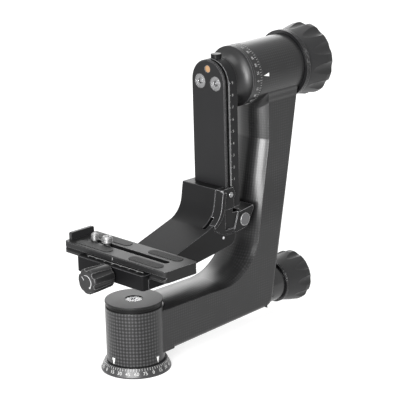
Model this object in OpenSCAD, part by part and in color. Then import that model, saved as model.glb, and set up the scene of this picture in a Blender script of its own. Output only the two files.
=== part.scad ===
// Gimbal tripod head. A moulded carbon arm turns on a base flange, and a cradle swings at its top.
// The cradle's rail carries an L-shaped bracket, whose clamp holds a sliding lens plate.
// Frame: origin at the middle of the base's underside, Z up along the pan axis,
// X from the pan axis towards the lock knobs, Y along the lens plate.

/* [Base] */
// Diameter of the base flange
base_d = 60; // [58:1:66]
// Height of the base flange
base_h = 8; // [7:0.5:9]
// Diameter of the flange's upper edge
base_top_d = 53.2; // [51:0.2:55]
// Diameter of the tripod thread
tripod_thread_d = 9.6; // [6.4:0.1:9.6]
// Depth of the tripod thread
tripod_thread_depth = 12; // [9:0.5:13]

/* [Pan axis] */
// Diameter of the arm's round boss
boss_d = 49.7; // [49:0.1:52]
// Height of the top of the pan cap
cap_top_z = 61.4; // [60:0.2:66]
// Thickness of the pan cap
cap_h = 2.2; // [1.8:0.1:2.6]
// Diameter of the screw head in the pan cap
pan_screw_d = 14.5; // [12:0.5:16]

/* [Bearings] */
// Diameter of both shafts
shaft_d = 20; // [18:0.5:20]
// Diameter of the balls
ball_d = 4; // [3.2:0.1:4]
// Radial thickness of a race
race_t = 2.6; // [2:0.1:2.7]
// Length of a race along its axis
race_h = 8; // [6:0.5:8.5]

/* [Arm] */
// Height of the tilt axis
tilt_z = 231.2; // [225:1:240]
// Width of the arm along Y
arm_w = 44; // [40:1:46]
// Height of the lower leg's top edge
leg_top_z = 51.5; // [50:0.5:53]
// Height of the lower leg's bottom edge at the boss
leg_bottom_z = 13.8; // [12:0.2:16]
// Rise of the lower leg's bottom edge, in degrees
leg_rise = 2.1; // [0:0.1:3]
// Place of the upright's inner edge, at the height of the leg's top edge
upright_x = 124.3; // [122:0.5:128]
// Thickness of the upright, along X
upright_t = 29.7; // [28:0.2:32]
// Inset of the upright's outer face from the tube's outer end
head_in = 1.3; // [0.6:0.1:3]
// Radius of the inner elbow
elbow_inner_r = 45; // [35:1:50]
// Radius of the outer elbow
elbow_outer_r = 10; // [7:0.5:14]
// Height of the inner side's bulge
bulge = 5; // [3:0.5:6]
// Rounding of the arm's outer edges
arm_edge_r = 5; // [3:0.5:6]

/* [Tilt tube] */
// Diameter of the tilt tube
tube_d = 53.4; // [52:0.2:56]
// Place of the tube's inner end
tube_x = 134.35; // [133:0.1:136]
// Length of the tilt tube
tube_len = 52.65; // [51:0.1:56]

/* [Lock knobs] */
// Largest diameter of the tilt knob
tilt_knob_d = 64.6; // [58:0.2:68]
// Length of the tilt knob
tilt_knob_len = 29.2; // [26:0.2:34]
// Largest diameter of the pan knob
pan_knob_d = 46; // [42:0.2:50]
// Length of the pan knob
pan_knob_len = 27.5; // [24:0.5:32]
// Height of the pan knob's axis
pan_knob_z = 31.1; // [29:0.1:33]
// Length of the collar between arm and pan knob
collar_len = 16.2; // [15:0.2:20]
// Number of lobes of the tilt knob
tilt_knob_lobes = 11; // [9:1:12]
// Number of lobes of the pan knob
pan_knob_lobes = 10; // [8:1:11]

/* [Swing rail] */
// Place of the rail's front face
rail_x = 94; // [93:0.1:94.5]
// Width of the rail
rail_w = 39.2; // [37:0.2:40]
// Thickness of the rail
rail_t = 16.4; // [15.8:0.1:16.6]
// Height of the rail's lower end
rail_bottom_z = 122; // [118:0.5:124]
// Thickness of the front dovetail
dovetail_t = 2.3; // [2:0.1:2.6]
// Width of the dovetail's groove
groove_w = 3; // [2.8:0.1:3.2]
// Depth of the dovetail's groove
groove_depth = 3.2; // [2.6:0.1:3.4]
// Diameter of the silver screw heads
rail_screw_d = 12; // [10:0.5:12]
// Diameter of the push button
button_d = 9.4; // [8:0.2:9.6]
// Travel of the push button
button_travel = 2; // [1:0.5:2.5]

/* [Bracket] */
// Height of the bracket's top edge
bracket_top_z = 141.3; // [139:0.1:144]
// Width of the bracket
bracket_w = 48; // [47:0.5:50]
// Radius of the bend between wall and arm
bend_r = 21; // [16:0.5:22]
// Slope of the bracket's arm, in degrees
arm_slope = 17.6; // [16:0.2:18]
// Width of the jaw
jaw_w = 9.1; // [8.6:0.1:9.4]
// Diameter of the bolt head in the jaw
bolt_head_d = 11.2; // [9:0.2:12]
// Diameter of the bracket knob
bracket_knob_d = 20; // [18:0.5:20]

/* [Plate clamp] */
// Length of the clamp along Y
clamp_len = 82; // [76:1:90]
// Outer side of the moving jaw
clamp_x = -26.6; // [-27.5:0.1:-26]
// Outer side of the fixed jaw
clamp_back_x = 21; // [20.8:0.1:22]
// Height of the clamp's underside
clamp_bottom_z = 84.1; // [83.6:0.1:84.4]
// Diameter of the clamp knob
clamp_knob_d = 22; // [19:0.5:23]
// Length of the clamp knob
clamp_knob_len = 22.6; // [20:0.2:26]

/* [Lens plate] */
// Width of the lens plate
plate_w = 37.6; // [37:0.1:38]
// Near end of the lens plate
plate_y0 = -60; // [-64:1:-56]
// Far end of the lens plate
plate_y1 = 66; // [65:1:70]
// Thickness of the lens plate
plate_t = 10; // [9.6:0.1:10.4]
// Height of the lens plate's top
plate_top_z = 103; // [102.8:0.1:103.2]
// Width of the slot for the camera screws
slot_w = 6.6; // [6.5:0.1:7]
// Length of a rubber pad
pad_len = 36; // [30:1:38]
// Width of a rubber pad
pad_w = 9.4; // [8:0.2:10]
// Width of the stop lip
lip_w = 26; // [20:1:30]

/* [Hidden] */
$fn = 96;

// Overrun of every cut
over = 1;
// Gap between pieces that move past each other
part_gap = 0.3;
// Radial clearance of a running fit
run_gap = 0.06;
// Clearance between a piece and its fixed seat
seat_gap = 0.05;
// Clearance of a ball to its races
ball_gap = 0.08;

// Radii along both bearings
shaft_r = shaft_d / 2;
inner_race_r = shaft_r + race_t;
ball_path_r = inner_race_r + ball_gap + ball_d / 2;
outer_race_r0 = ball_path_r + ball_d / 2 + ball_gap;
outer_race_r1 = outer_race_r0 + race_t;
race_bore_r = outer_race_r1 + seat_gap;
race_lip = 2;
race_lip_r = race_bore_r - race_lip;
sleeve_t = 1.5;
balls_per_race = 10;
retain_t = 2;
retain_inset = 0.6;
shoulder_r = inner_race_r - seat_gap;
shaft_bolt_r = 5;
hex_share = 0.45;
hex_sides = 6;

// Places along the pan axis
boss_r = boss_d / 2;
boss_gap = 0.4;
boss_z = base_h + boss_gap;
pan_race_low_z = boss_z + retain_inset + retain_t;
cap_z = cap_top_z - cap_h;
cap_groove = 3.2;
cap_groove_in = 1;
cap_edge = 0.5;
boss_top_z = cap_z - cap_groove;
cap_spigot = 2.3;
pan_race_high_z = boss_top_z - cap_spigot - race_h;
pan_washer_t = 2;
pan_shaft_top_z = pan_race_high_z + race_h;
foot_r = 14;
foot_z = 3;
insert_wall = 2.2;
insert_r = tripod_thread_d / 2 + insert_wall;
insert_top_z = tripod_thread_depth + over;
flange_edge = 1.2;
screw_recess_share = 0.14;
base_screw_circle_r = 10.4;
base_screw_r = 1.5;
base_screw_head_r = 2.6;
base_screw_head_h = 1.8;

// Outline of the arm's flat sides
leg_corner = [0, leg_bottom_z];
lean_steps = 10;
lean = round(atan((tube_x + tube_len - head_in - upright_x - upright_t) / (tilt_z - leg_top_z)) * lean_steps)
  / lean_steps;
lean_dir = [sin(lean), cos(lean)];
rise_dir = [cos(leg_rise), sin(leg_rise)];
inner_corner = [upright_x, leg_top_z];
inner_knee_z = 173.4;
inner_knee = inner_corner + lean_dir * (inner_knee_z - leg_top_z) / lean_dir[1];
outer_at_top = [upright_x + upright_t, leg_top_z] + lean_dir * (tilt_z - leg_top_z) / lean_dir[1];
outer_corner_x = (outer_at_top[0] - lean_dir[0] / lean_dir[1] * (outer_at_top[1] - leg_bottom_z))
  / (1 - rise_dir[1] / rise_dir[0] * lean_dir[0] / lean_dir[1]);
outer_corner = [outer_corner_x, leg_bottom_z + outer_corner_x * rise_dir[1] / rise_dir[0]];
crease = 0.5;
bulge_r = (pow(arm_w / 2 - crease, 2) + pow(bulge, 2)) / (2 * bulge);
cap_clear = 0.3;
collar_root = 3;

// Places along the tilt axis
tube_r = tube_d / 2;
tube_x1 = tube_x + tube_len;
tilt_race_a_x = tube_x + retain_inset + retain_t;
scale_ring_x = 124.9;
hub_spigot_r = 20;
hub_neck_r = 17;
hub_rim = 2.3;
hub_end_x = tube_x - 2 * part_gap;
shaft_root_x = 119;
brake_flange_gap = 1;
brake_flange_r = outer_race_r0 - brake_flange_gap;
brake_flange_t = 2.5;
brake_hub_t = 1;
brake_gap = 0.7;
brake_disc_t = 3;
tilt_bolt_head_r = 8;
tilt_bolt_head_h = 3.6;
bolt_recess = 2;
bolt_head_gap = 1;
disc_gap = 0.4;
spindle_seat = 6.4;
spindle_x = tube_x1 - spindle_seat;
flange_x = spindle_x - disc_gap - brake_disc_t - brake_gap - brake_flange_t;
tilt_race_b_x = flange_x - brake_hub_t - race_h;
spindle_r = race_bore_r - run_gap;
spindle_neck_r = 15;
knob_gap = 0.5;
knob_root_in = 2;
tilt_ring_r = 29.9;
tilt_ring_t = 4.2;
tilt_ring_x = tube_x1 + knob_gap;
tilt_knob_x = tilt_ring_x + tilt_ring_t;

// Places along the pan lock
collar_seat_share = 0.46;
collar_x = outer_corner[0] + elbow_outer_r * collar_seat_share;
collar_r = 17;
collar_spigot_r = 12;
collar_spigot = 11;
pan_spindle_r = 8;
pan_ring_r = 19;
pan_ring_t = 2.5;
pan_ring_x = collar_x + collar_len + knob_gap;
pan_knob_x = pan_ring_x + pan_ring_t;
brake_rod_r = 3;
brake_rod_gap = 0.5;
brake_rod_hole_r = brake_rod_r + brake_rod_gap;
brake_shoe_r = 6;
brake_shoe_back_x = 19.6;
sleeve_r = shaft_r + sleeve_t;
rod_in_spindle = 15;
blind_gap = 1;

// Swing rail
rail_r = rail_w / 2;
rail_x1 = rail_x + rail_t;
rail_edge = 0.8;
groove_x = rail_x + dovetail_t;
groove_x1 = groove_x + groove_w;
flank_share = 0.33;
rail_screw_y = 9.2;
rail_screw_head_h = 5;
rail_screw_r = 3;
rail_screw_end_x = shaft_root_x - 1;
brass_plug_d = 6;
brass_plug_h = 4;
brass_plug_up = 11.6;
button_x = groove_x1 + (rail_x1 - groove_x1) / 2;
button_out = 3.6;
button_h = 11;
button_edge = 0.8;
spring_turns = 4;
spring_wire_r = 0.35;
spring_r = 3.4;
spring_h = 5.4;
button_top_z = tilt_z + rail_r + button_out;
button_z = button_top_z - button_h;
button_bore_z = button_z - spring_h;

// Bracket outline, with its wall, bend, sloping arm and underside
wall_x = 84;
wall_lean = 9.4;
bend_z = 114.2;
bend_corner = [wall_x - (bracket_top_z - bend_z) * tan(wall_lean), bend_z];
wall_past_groove = 0.2;
bracket_back_x = groove_x1 + wall_past_groove;
under_slope = 7.9;
under_flat_x = 48.9;
under_corner = [bracket_back_x, clamp_bottom_z + (bracket_back_x - under_flat_x) * tan(under_slope)];
under_corner_r = 8;
arm_end_z = bend_corner[1] - (bend_corner[0] - clamp_back_x) * tan(arm_slope);
half_w = bracket_w / 2;
channel_y = rail_r + part_gap;
channel_x = rail_x - part_gap;
hook_y = rail_r - groove_depth + part_gap;
hook_x1 = groove_x1 - part_gap;
lug_face_y = 22;
lug_boss_gap = 0.4;
boss_x0 = rail_x1 + lug_boss_gap;
bolt_x = 113.2;
bolt_z = 109;
lug_x0 = 97;
lug_tip = [11.8, 7.8];
lug_nose = [11.1, 10.4];
lug_brow = [-4.8, 8.2];
lug_crown_up = 9.2;
lug_belly = [3, -7.4];
lug_toe = [-10.8, -9.4];
lug_notch_gap = 0.5;
lug_round = 6;
lug_tip_x = bolt_x + lug_tip[0];
bolt_r = 2.2;
bolt_head_h = 1.8;
jaw_gap = 0.4;
band_out = 1.9;
cheek_in = 1;
jaw_y0 = -(half_w + band_out);
jaw_y1 = jaw_y0 + jaw_w;
jaw_face_y = -(half_w - cheek_in);
band_t = 4;
jaw_low_z = 101.2;
recess_face_y = -20.9;
recess_left = 88.6;
recess_top_z = 122.6;
recess_low = [4.6, 3.2];
lug_edge_low = [-12.2, -5.6];
lug_edge_high = [-7.6, 6.8];
sight_hole_r = 1.1;
jaw_toe_x = 72.5;
jaw_toe = [jaw_toe_x, bend_corner[1] - (bend_corner[0] - jaw_toe_x) * tan(arm_slope)];
jaw_heel = [75, 107.2];
jaw_step = [86.5, jaw_low_z];
jaw_boss_y = -8;
bracket_boss_y = -6;
ear_x = 96.2;
ear_z = 135.1;
ear_r = 4.8;
adjust_r = 2.2;
pocket_r = 1.9;
pocket_x0 = 66.6;
pocket_y = -17.7;
pocket_top_z = 118;
pin_place = [84.6, 99.2];
pin_r = 1.2;
pin_len = 14;
tongue_x = 2;
tongue_t = 4;
tongue_w = 40;
clamp_screw_x = 11;
clamp_screw_y = 12;
clamp_screw_r = 2;
clamp_screw_head_r = 3.8;
clamp_screw_head_h = 2.4;

// Clamp and plate section
clamp_floor_z = plate_top_z - plate_t - part_gap;
dovetail_foot_h = 2;
dovetail_edge_z = plate_top_z - plate_t + dovetail_foot_h;
dovetail_in = 2;
jaw_top_z = dovetail_edge_z + dovetail_in + part_gap;
plate_x = plate_w / 2;
plate_edge = 0.6;
plate_notch_h = 0.6;
plate_notch_slope = 0.8;
plate_flange_z = dovetail_edge_z + dovetail_in + plate_notch_h + plate_notch_slope;
plate_corner_r = 4;
clamp_inner_x = -19.9;
clamp_jaw_gap = 0.4;
clamp_corner_r = 3;
clamp_stud_up = 5.6;
clamp_stud_z = clamp_bottom_z + clamp_stud_up;
clamp_stud_r = 2.1;
clamp_stud_end_x = -2;
clamp_knob_out = 2.6;
clamp_knob_x = clamp_x - clamp_knob_out;
clamp_knob_lobes = 7;
clamp_washer_r = 6;
guide_pin_r = 2;
guide_pin_y = 30;
guide_pin_end_x = -8;
guide_pin_up = 4.3;
guide_pin_z = clamp_bottom_z + guide_pin_up;
guide_pin_grip = 3;

// Camera screws and their recess under the plate
slot_y0 = -44.5;
slot_y1 = 51;
recess_w = 13.8;
recess_h = 4.4;
recess_z = plate_top_z - plate_t + recess_h;
recess_end = 3.6;
washer_r = 6.5;
washer_t = 0.9;
head_r = 6.2;
head_h = 2.9;
head_gap = 0.1;
quarter_r = 3.175;
three_eighths_r = 4.76;
neck_r = 2.7;
quarter_y = 47;
three_eighths_y = 31;
screw_out = 6.6;
pad_x = 11.2;
pad_near_y = -28;
pad_far_y = 37.5;
pad_t = 1.2;
pad_out = 0.5;
lip_y = 62.4;
lip_t = 3;
lip_depth = 3.6;
lip_out = 6.4;
lip_edge = 1.5;

// Screws in the knobs, and the place of a knob's widest part as a share of its length
knob_screw_head_r = 5;
knob_screw_head_h = 3.6;
knob_screw_r = 3;
knob_screw_depth = 5;
knob_screw_grip = 8;
knob_cap_t = 2;
widest_share = 0.72;
pan_knob_edge = 4;
tilt_knob_edge = 5;
small_knob_edge = 2;
small_flute_share = 0.28;
small_depth_share = 0.15;
bracket_knob_lobes = 6;

// Knob of the bracket and its bolt
bracket_knob_len = 16;
bracket_knob_gap = 0.4;
bolt_end_y = half_w + bracket_knob_gap + bracket_knob_len - knob_cap_t - blind_gap;
bolt_len = lug_face_y - bolt_head_h / 2 + bolt_end_y;

// Geometry helpers
function unit(v) = v / norm(v);
function mirrored(half) = concat(half, [for (i = [len(half) - 1 : -1 : 0]) [-half[i][0], half[i][1]]]);
function half_angle(a, p, b) = acos(unit(a - p) * unit(b - p)) / 2;
function arc_centre(a, p, b, r) = p + unit(unit(a - p) + unit(b - p)) * r / sin(half_angle(a, p, b));
function arc_end(a, p, b, r) = p + unit(a - p) * r / tan(half_angle(a, p, b));

// Wedge between corner p, whose neighbours are a and b, and the arc of radius r that rounds it
module corner_wedge(a, p, b, r) {
  c = arc_centre(a, p, b, r);
  reach = 1 + over / r;
  difference() {
    polygon([p + unit(p - c) * over, c + (arc_end(a, p, b, r) - c) * reach, c,
      c + (arc_end(b, p, a, r) - c) * reach]);
    translate(c) circle(r);
  }
}

// Extrudes an outline, drawn in X and Z, from y0 to y1
module y_slab(y0, y1) {
  translate([0, y1, 0]) rotate([90, 0, 0]) linear_extrude(y1 - y0) children();
}

// Turns a piece that was made along Z so that it runs along X, from place x
module along_x(x, z = 0) {
  translate([x, 0, z]) rotate([0, 90, 0]) children();
}

module ring(r1, r0, h) {
  difference() {
    cylinder(r = r1, h = h);
    translate([0, 0, -over]) cylinder(r = r0, h = h + 2 * over);
  }
}

// Row of balls on their path round the Z axis
module ball_row() {
  for (i = [0 : balls_per_race - 1])
    rotate([0, 0, i * 360 / balls_per_race]) translate([ball_path_r, 0, race_h / 2]) sphere(d = ball_d);
}

// Screw along Z, its head above z = 0 and its shank below, with a hex socket
module socket_screw(head_r, head_h, shank_r, shank_len, socket_share = hex_share) {
  difference() {
    union() {
      cylinder(r = head_r, h = head_h);
      translate([0, 0, -shank_len]) cylinder(r = shank_r, h = shank_len + head_h / 2);
    }
    translate([0, 0, head_h / 2]) cylinder(r = head_r * socket_share, h = head_h, $fn = hex_sides);
  }
}

// Lobed knob along Z from its root to its tip, with a rounded tip and flutes that run out on its cone
module lobed_knob(len, root_r, tip_r, lobes, edge_r, flute_share = 0.24, depth_share = 0.1) {
  flute_r = tip_r * flute_share;
  flute_place = tip_r * (1 - depth_share) + flute_r;
  profile = [[0, 0], [root_r, 0], [tip_r, len * widest_share], [tip_r, len], [0, len]];
  intersection() {
    rotate_extrude() difference() {
      polygon(profile);
      corner_wedge(profile[2], profile[3], profile[4], edge_r);
    }
    translate([0, 0, -over]) linear_extrude(len + 2 * over) difference() {
      circle(tip_r + over);
      for (i = [0 : lobes - 1]) rotate((i + 0.5) * 360 / lobes) translate([flute_place, 0]) circle(flute_r);
    }
  }
}

// Base flange with its graduated cone, seat for the shaft's foot and screw holes
module base_flange() {
  color("dimgray") difference() {
    rotate_extrude() polygon([[0, 0], [base_d / 2, 0], [base_d / 2, flange_edge], [base_top_d / 2, base_h],
      [0, base_h]]);
    translate([0, 0, foot_z]) cylinder(r = foot_r + seat_gap, h = base_h);
    translate([0, 0, -over]) cylinder(r = insert_r + seat_gap, h = base_h);
    base_screw_places() {
      translate([0, 0, -over]) cylinder(r = base_screw_r + seat_gap, h = base_h);
      translate([0, 0, -over]) cylinder(r = base_screw_head_r + seat_gap, h = base_screw_head_h + over);
    }
  }
}

module base_screw_places() {
  for (i = [0 : 2]) rotate([0, 0, 120 * i + 30]) translate([base_screw_circle_r, 0, 0]) children();
}

module base_screws() {
  color("silver") base_screw_places() translate([0, 0, base_screw_head_h]) mirror([0, 0, 1])
    socket_screw(base_screw_head_r, base_screw_head_h - screw_recess_share, base_screw_r,
      base_h - base_screw_head_h - blind_gap - part_gap);
}

module tripod_insert() {
  color("silver") difference() {
    cylinder(r = insert_r, h = insert_top_z);
    translate([0, 0, -over]) cylinder(d = tripod_thread_d, h = tripod_thread_depth + over);
  }
}

// Shaft with its foot in the flange, its shoulder under the lower race and the bore for the top screw
module pan_shaft() {
  color("silver") difference() {
    union() {
      translate([0, 0, foot_z]) cylinder(r = foot_r, h = base_h - foot_z);
      translate([0, 0, foot_z]) cylinder(r = shoulder_r, h = pan_race_low_z - foot_z);
      translate([0, 0, foot_z]) cylinder(r = shaft_r, h = pan_shaft_top_z - foot_z);
    }
    translate([0, 0, -over]) cylinder(r = insert_r + seat_gap, h = insert_top_z + over);
    translate([0, 0, pan_race_high_z - race_h]) cylinder(r = shaft_bolt_r + seat_gap, h = cap_top_z);
    base_screw_places() cylinder(r = base_screw_r + seat_gap, h = base_h - blind_gap);
  }
}

module inner_race() ring(inner_race_r, shaft_r + seat_gap, race_h);
module outer_race() ring(outer_race_r1, outer_race_r0, race_h);

module pan_inner_races() {
  color("silver") for (z = [pan_race_low_z, pan_race_high_z]) translate([0, 0, z]) inner_race();
}

module pan_outer_races() {
  color("silver") for (z = [pan_race_low_z, pan_race_high_z]) translate([0, 0, z]) outer_race();
}

module pan_balls() {
  color("silver") for (z = [pan_race_low_z, pan_race_high_z]) translate([0, 0, z]) ball_row();
}

module pan_retaining_ring() {
  color("dimgray") translate([0, 0, boss_z + retain_inset])
    ring(outer_race_r1, shoulder_r + part_gap * 2, retain_t);
}

module pan_brake_sleeve() {
  color("goldenrod") translate([0, 0, pan_race_low_z + race_h])
    ring(sleeve_r, shaft_r + seat_gap, pan_race_high_z - pan_race_low_z - race_h);
}

module pan_washer() {
  color("silver") translate([0, 0, pan_shaft_top_z])
    ring(shoulder_r, shaft_bolt_r + seat_gap, pan_washer_t);
}

// Silver screw in the middle of the cap, which holds the arm on the shaft
module pan_screw() {
  head_z = pan_shaft_top_z + pan_washer_t;
  color("silver") translate([0, 0, head_z])
    socket_screw(pan_screw_d / 2, cap_top_z - 2 * part_gap - head_z, shaft_bolt_r, race_h * 2);
}

module pan_cap() {
  color("gray") difference() {
    union() {
      translate([0, 0, cap_z]) rotate_extrude() difference() {
        square([boss_r, cap_h]);
        corner_wedge([boss_r, 0], [boss_r, cap_h], [0, cap_h], cap_edge);
        corner_wedge([boss_r, cap_h], [boss_r, 0], [0, 0], cap_edge);
      }
      translate([0, 0, pan_race_high_z + race_h])
        ring(race_bore_r - seat_gap, outer_race_r0 + seat_gap, cap_z - pan_race_high_z - race_h);
    }
    translate([0, 0, cap_z - over]) cylinder(r = pan_screw_d / 2 + part_gap, h = cap_h + 2 * over);
  }
}

module cap_ring() {
  color("black") translate([0, 0, boss_top_z])
    ring(boss_r - cap_groove_in, race_bore_r + seat_gap, cap_groove);
}

// Flat outline of the arm in X and Z, with its inner and outer elbow
module arm_outline() {
  knee_top = [inner_knee[0], tilt_z];
  difference() {
    union() {
      polygon([leg_corner, outer_corner, outer_at_top, knee_top, inner_knee, inner_corner, [0, leg_top_z]]);
      corner_wedge(inner_knee, inner_corner, [0, leg_top_z], elbow_inner_r);
    }
    corner_wedge(leg_corner, outer_corner, outer_at_top, elbow_outer_r);
  }
}

// Circular segment on the arm's inner side, with a narrow flat left along each edge
module bulge_section() {
  half = arm_w / 2 - crease;
  intersection() {
    translate([0, bulge - bulge_r]) circle(bulge_r);
    translate([-half, -over]) square([2 * half, bulge + 2 * over]);
  }
}

// Rounded inner side of the arm: along the leg, round the elbow, up the upright and to the tube
module arm_bulge() {
  far = [0, leg_top_z];
  c = arc_centre(inner_knee, inner_corner, far, elbow_inner_r);
  start = arc_end(far, inner_corner, inner_knee, elbow_inner_r);
  stop = arc_end(inner_knee, inner_corner, far, elbow_inner_r);
  translate([boss_r / 2, 0, leg_top_z]) rotate([90, 0, 90]) linear_extrude(start[0] - boss_r / 2)
    bulge_section();
  translate([c[0], 0, c[1]]) rotate([-90, 0, 0]) rotate([0, 0, lean]) rotate_extrude(angle = 90 - lean)
    translate([elbow_inner_r, 0]) rotate(90) bulge_section();
  translate([stop[0], 0, stop[1]]) rotate([0, lean, 0]) rotate([0, 0, 90])
    linear_extrude(norm(inner_knee - stop)) bulge_section();
  translate([inner_knee[0], 0, inner_knee[1]]) rotate([0, 0, 90])
    linear_extrude(tilt_z - inner_knee[1]) bulge_section();
}

// Cutter that rounds one long outer edge of the arm, from a to b in X and Z
module edge_cutter(a, b) {
  d = unit(b - a);
  translate([a[0], -arm_w / 2, a[1]]) rotate([0, 90 - atan2(d[1], d[0]), 0]) linear_extrude(norm(b - a))
    edge_section();
}

module edge_section() {
  difference() {
    translate([-arm_edge_r, -over]) square([arm_edge_r + over, arm_edge_r + over]);
    translate([-arm_edge_r, arm_edge_r]) circle(arm_edge_r);
  }
}

module arm_edge_cuts() {
  c = arc_centre(leg_corner, outer_corner, outer_at_top, elbow_outer_r);
  low = arc_end(leg_corner, outer_corner, outer_at_top, elbow_outer_r);
  high = arc_end(outer_at_top, outer_corner, leg_corner, elbow_outer_r);
  edge_cutter(leg_corner + [boss_r, 0], low);
  edge_cutter(high, outer_at_top - [0, tube_r * 0.9]);
  translate([c[0], -arm_w / 2, c[1]]) rotate([-90, 0, 0]) rotate([0, 0, lean])
    rotate_extrude(angle = 90 - leg_rise - lean) translate([elbow_outer_r, 0]) edge_section();
}

// Moulded shell of the arm: boss, lower leg, elbow, upright and tilt tube, with both bearing seats
module arm_shell() {
  shell_top_z = boss_top_z;
  color("#3a3a3c") difference() {
    union() {
      difference() {
        union() {
          y_slab(-arm_w / 2, arm_w / 2) arm_outline();
          arm_bulge();
        }
        arm_edge_cuts();
        mirror([0, 1, 0]) arm_edge_cuts();
      }
      translate([0, 0, boss_z]) cylinder(r = boss_r, h = shell_top_z - boss_z);
      along_x(tube_x, tilt_z) cylinder(r = tube_r, h = tube_len);
      along_x(outer_corner[0] - collar_root, pan_knob_z)
        cylinder(r = collar_r, h = collar_x - outer_corner[0] + collar_root);
    }
    translate([0, 0, shell_top_z]) cylinder(r = boss_r + cap_clear, h = cap_top_z);
    translate([0, 0, boss_z - over]) cylinder(r = race_bore_r, h = over + retain_inset + retain_t + race_h);
    translate([0, 0, boss_z]) cylinder(r = race_lip_r, h = shell_top_z);
    translate([0, 0, pan_race_high_z]) cylinder(r = race_bore_r, h = shell_top_z);
    along_x(tube_x - over, tilt_z) cylinder(r = race_bore_r, h = over + retain_inset + retain_t + race_h);
    along_x(tube_x, tilt_z) cylinder(r = race_lip_r, h = tube_len);
    along_x(tilt_race_b_x, tilt_z) cylinder(r = race_bore_r, h = tube_len);
    along_x(0, pan_knob_z) cylinder(r = brake_rod_hole_r, h = collar_x);
    along_x(0, pan_knob_z) cylinder(r = brake_shoe_r + run_gap, h = brake_shoe_back_x + part_gap);
    along_x(collar_x - collar_spigot - part_gap, pan_knob_z)
      cylinder(r = collar_spigot_r + seat_gap, h = collar_spigot * 2);
    along_x(collar_x, pan_knob_z) cylinder(r = collar_r + seat_gap, h = collar_len);
  }
}

module tilt_outer_races() {
  color("silver") for (x = [tilt_race_a_x, tilt_race_b_x]) along_x(x, tilt_z) outer_race();
}

module tilt_retaining_rings() {
  color("dimgray") {
    along_x(tube_x + retain_inset, tilt_z) ring(outer_race_r1, shoulder_r + part_gap * 2, retain_t);
    along_x(tilt_race_b_x + race_h, tilt_z) ring(outer_race_r1, outer_race_r0, brake_hub_t + part_gap);
  }
}

module tilt_balls() {
  color("silver") for (x = [tilt_race_a_x, tilt_race_b_x]) along_x(x, tilt_z) ball_row();
}

module pan_lock_collar() {
  color("black") difference() {
    union() {
      along_x(collar_x - collar_spigot, pan_knob_z) cylinder(r = collar_spigot_r, h = collar_spigot + over);
      along_x(collar_x, pan_knob_z) cylinder(r = collar_r, h = collar_len);
    }
    along_x(collar_x - collar_spigot - over, pan_knob_z)
      cylinder(r = pan_spindle_r + run_gap, h = collar_spigot + collar_len + 2 * over);
  }
}

// Spindle of the pan lock, threaded inside for the brake rod
module pan_spindle() {
  color("silver") difference() {
    along_x(collar_x - collar_spigot, pan_knob_z)
      cylinder(r = pan_spindle_r, h = collar_spigot + pan_knob_x - collar_x);
    along_x(collar_x - collar_spigot - over, pan_knob_z)
      cylinder(r = brake_rod_r + run_gap, h = over + rod_in_spindle + blind_gap);
    along_x(pan_knob_x - knob_screw_grip - part_gap, pan_knob_z)
      cylinder(r = knob_screw_r + seat_gap, h = knob_screw_grip * 2);
  }
}

// Turned ring behind a lock knob, with two grooves that leave three beads
module beaded_ring(r, bore_r, t) {
  bead_w = t / 5;
  difference() {
    ring(r, bore_r, t);
    for (i = [1, 3]) translate([0, 0, bead_w * i]) ring(r + over, r - bead_w / 2, bead_w);
  }
}

module pan_knob_ring() {
  color("black") along_x(pan_ring_x, pan_knob_z)
    beaded_ring(pan_ring_r, pan_spindle_r + seat_gap, pan_ring_t);
}

// Recess and through hole of a knob's screw, along Z from the knob's tip at height len
module knob_screw_recess(len, depth) {
  translate([0, 0, len - depth]) cylinder(r = knob_screw_head_r + part_gap, h = depth + over);
  translate([0, 0, -over]) cylinder(r = knob_screw_r + seat_gap, h = len);
}

module knob_screw(x, z, len) {
  color("silver") along_x(x + len - knob_screw_depth, z)
    socket_screw(knob_screw_head_r, knob_screw_head_h, knob_screw_r,
      len - knob_screw_depth + knob_screw_grip);
}

module pan_knob() {
  color("#333333") along_x(pan_knob_x, pan_knob_z) difference() {
    lobed_knob(pan_knob_len, pan_ring_r - knob_root_in / 2, pan_knob_d / 2, pan_knob_lobes,
      pan_knob_edge);
    knob_screw_recess(pan_knob_len, knob_screw_depth);
  }
}

module pan_knob_screw() knob_screw(pan_knob_x, pan_knob_z, pan_knob_len);

module pan_brake_rod() {
  color("silver") along_x(brake_shoe_back_x, pan_knob_z)
    cylinder(r = brake_rod_r, h = collar_x - collar_spigot + rod_in_spindle - brake_shoe_back_x);
}

module pan_brake_shoe() {
  color("goldenrod") difference() {
    along_x(shaft_r / 2, pan_knob_z) cylinder(r = brake_shoe_r, h = brake_shoe_back_x - shaft_r / 2);
    cylinder(r = sleeve_r + brake_gap, h = cap_top_z);
  }
}

// Spindle of the tilt lock, which turns in the tube's outer end
module tilt_spindle() {
  color("silver") difference() {
    union() {
      along_x(spindle_x, tilt_z) cylinder(r = spindle_r, h = tube_x1 - spindle_x);
      along_x(spindle_x, tilt_z) cylinder(r = spindle_neck_r, h = tilt_knob_x - spindle_x);
    }
    along_x(spindle_x - over, tilt_z) cylinder(r = tilt_bolt_head_r + bolt_head_gap, h = over + bolt_recess);
    along_x(spindle_x, tilt_z) cylinder(r = knob_screw_r + seat_gap, h = tube_len);
  }
}

module tilt_knob_ring() {
  color("dimgray") along_x(tilt_ring_x, tilt_z)
    beaded_ring(tilt_ring_r, spindle_neck_r + seat_gap, tilt_ring_t);
}

module tilt_knob() {
  color("#333333") along_x(tilt_knob_x, tilt_z) difference() {
    lobed_knob(tilt_knob_len, tilt_ring_r - knob_root_in, tilt_knob_d / 2, tilt_knob_lobes,
      tilt_knob_edge);
    knob_screw_recess(tilt_knob_len, knob_screw_depth);
  }
}

module tilt_knob_screw() knob_screw(tilt_knob_x, tilt_z, tilt_knob_len);

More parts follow.
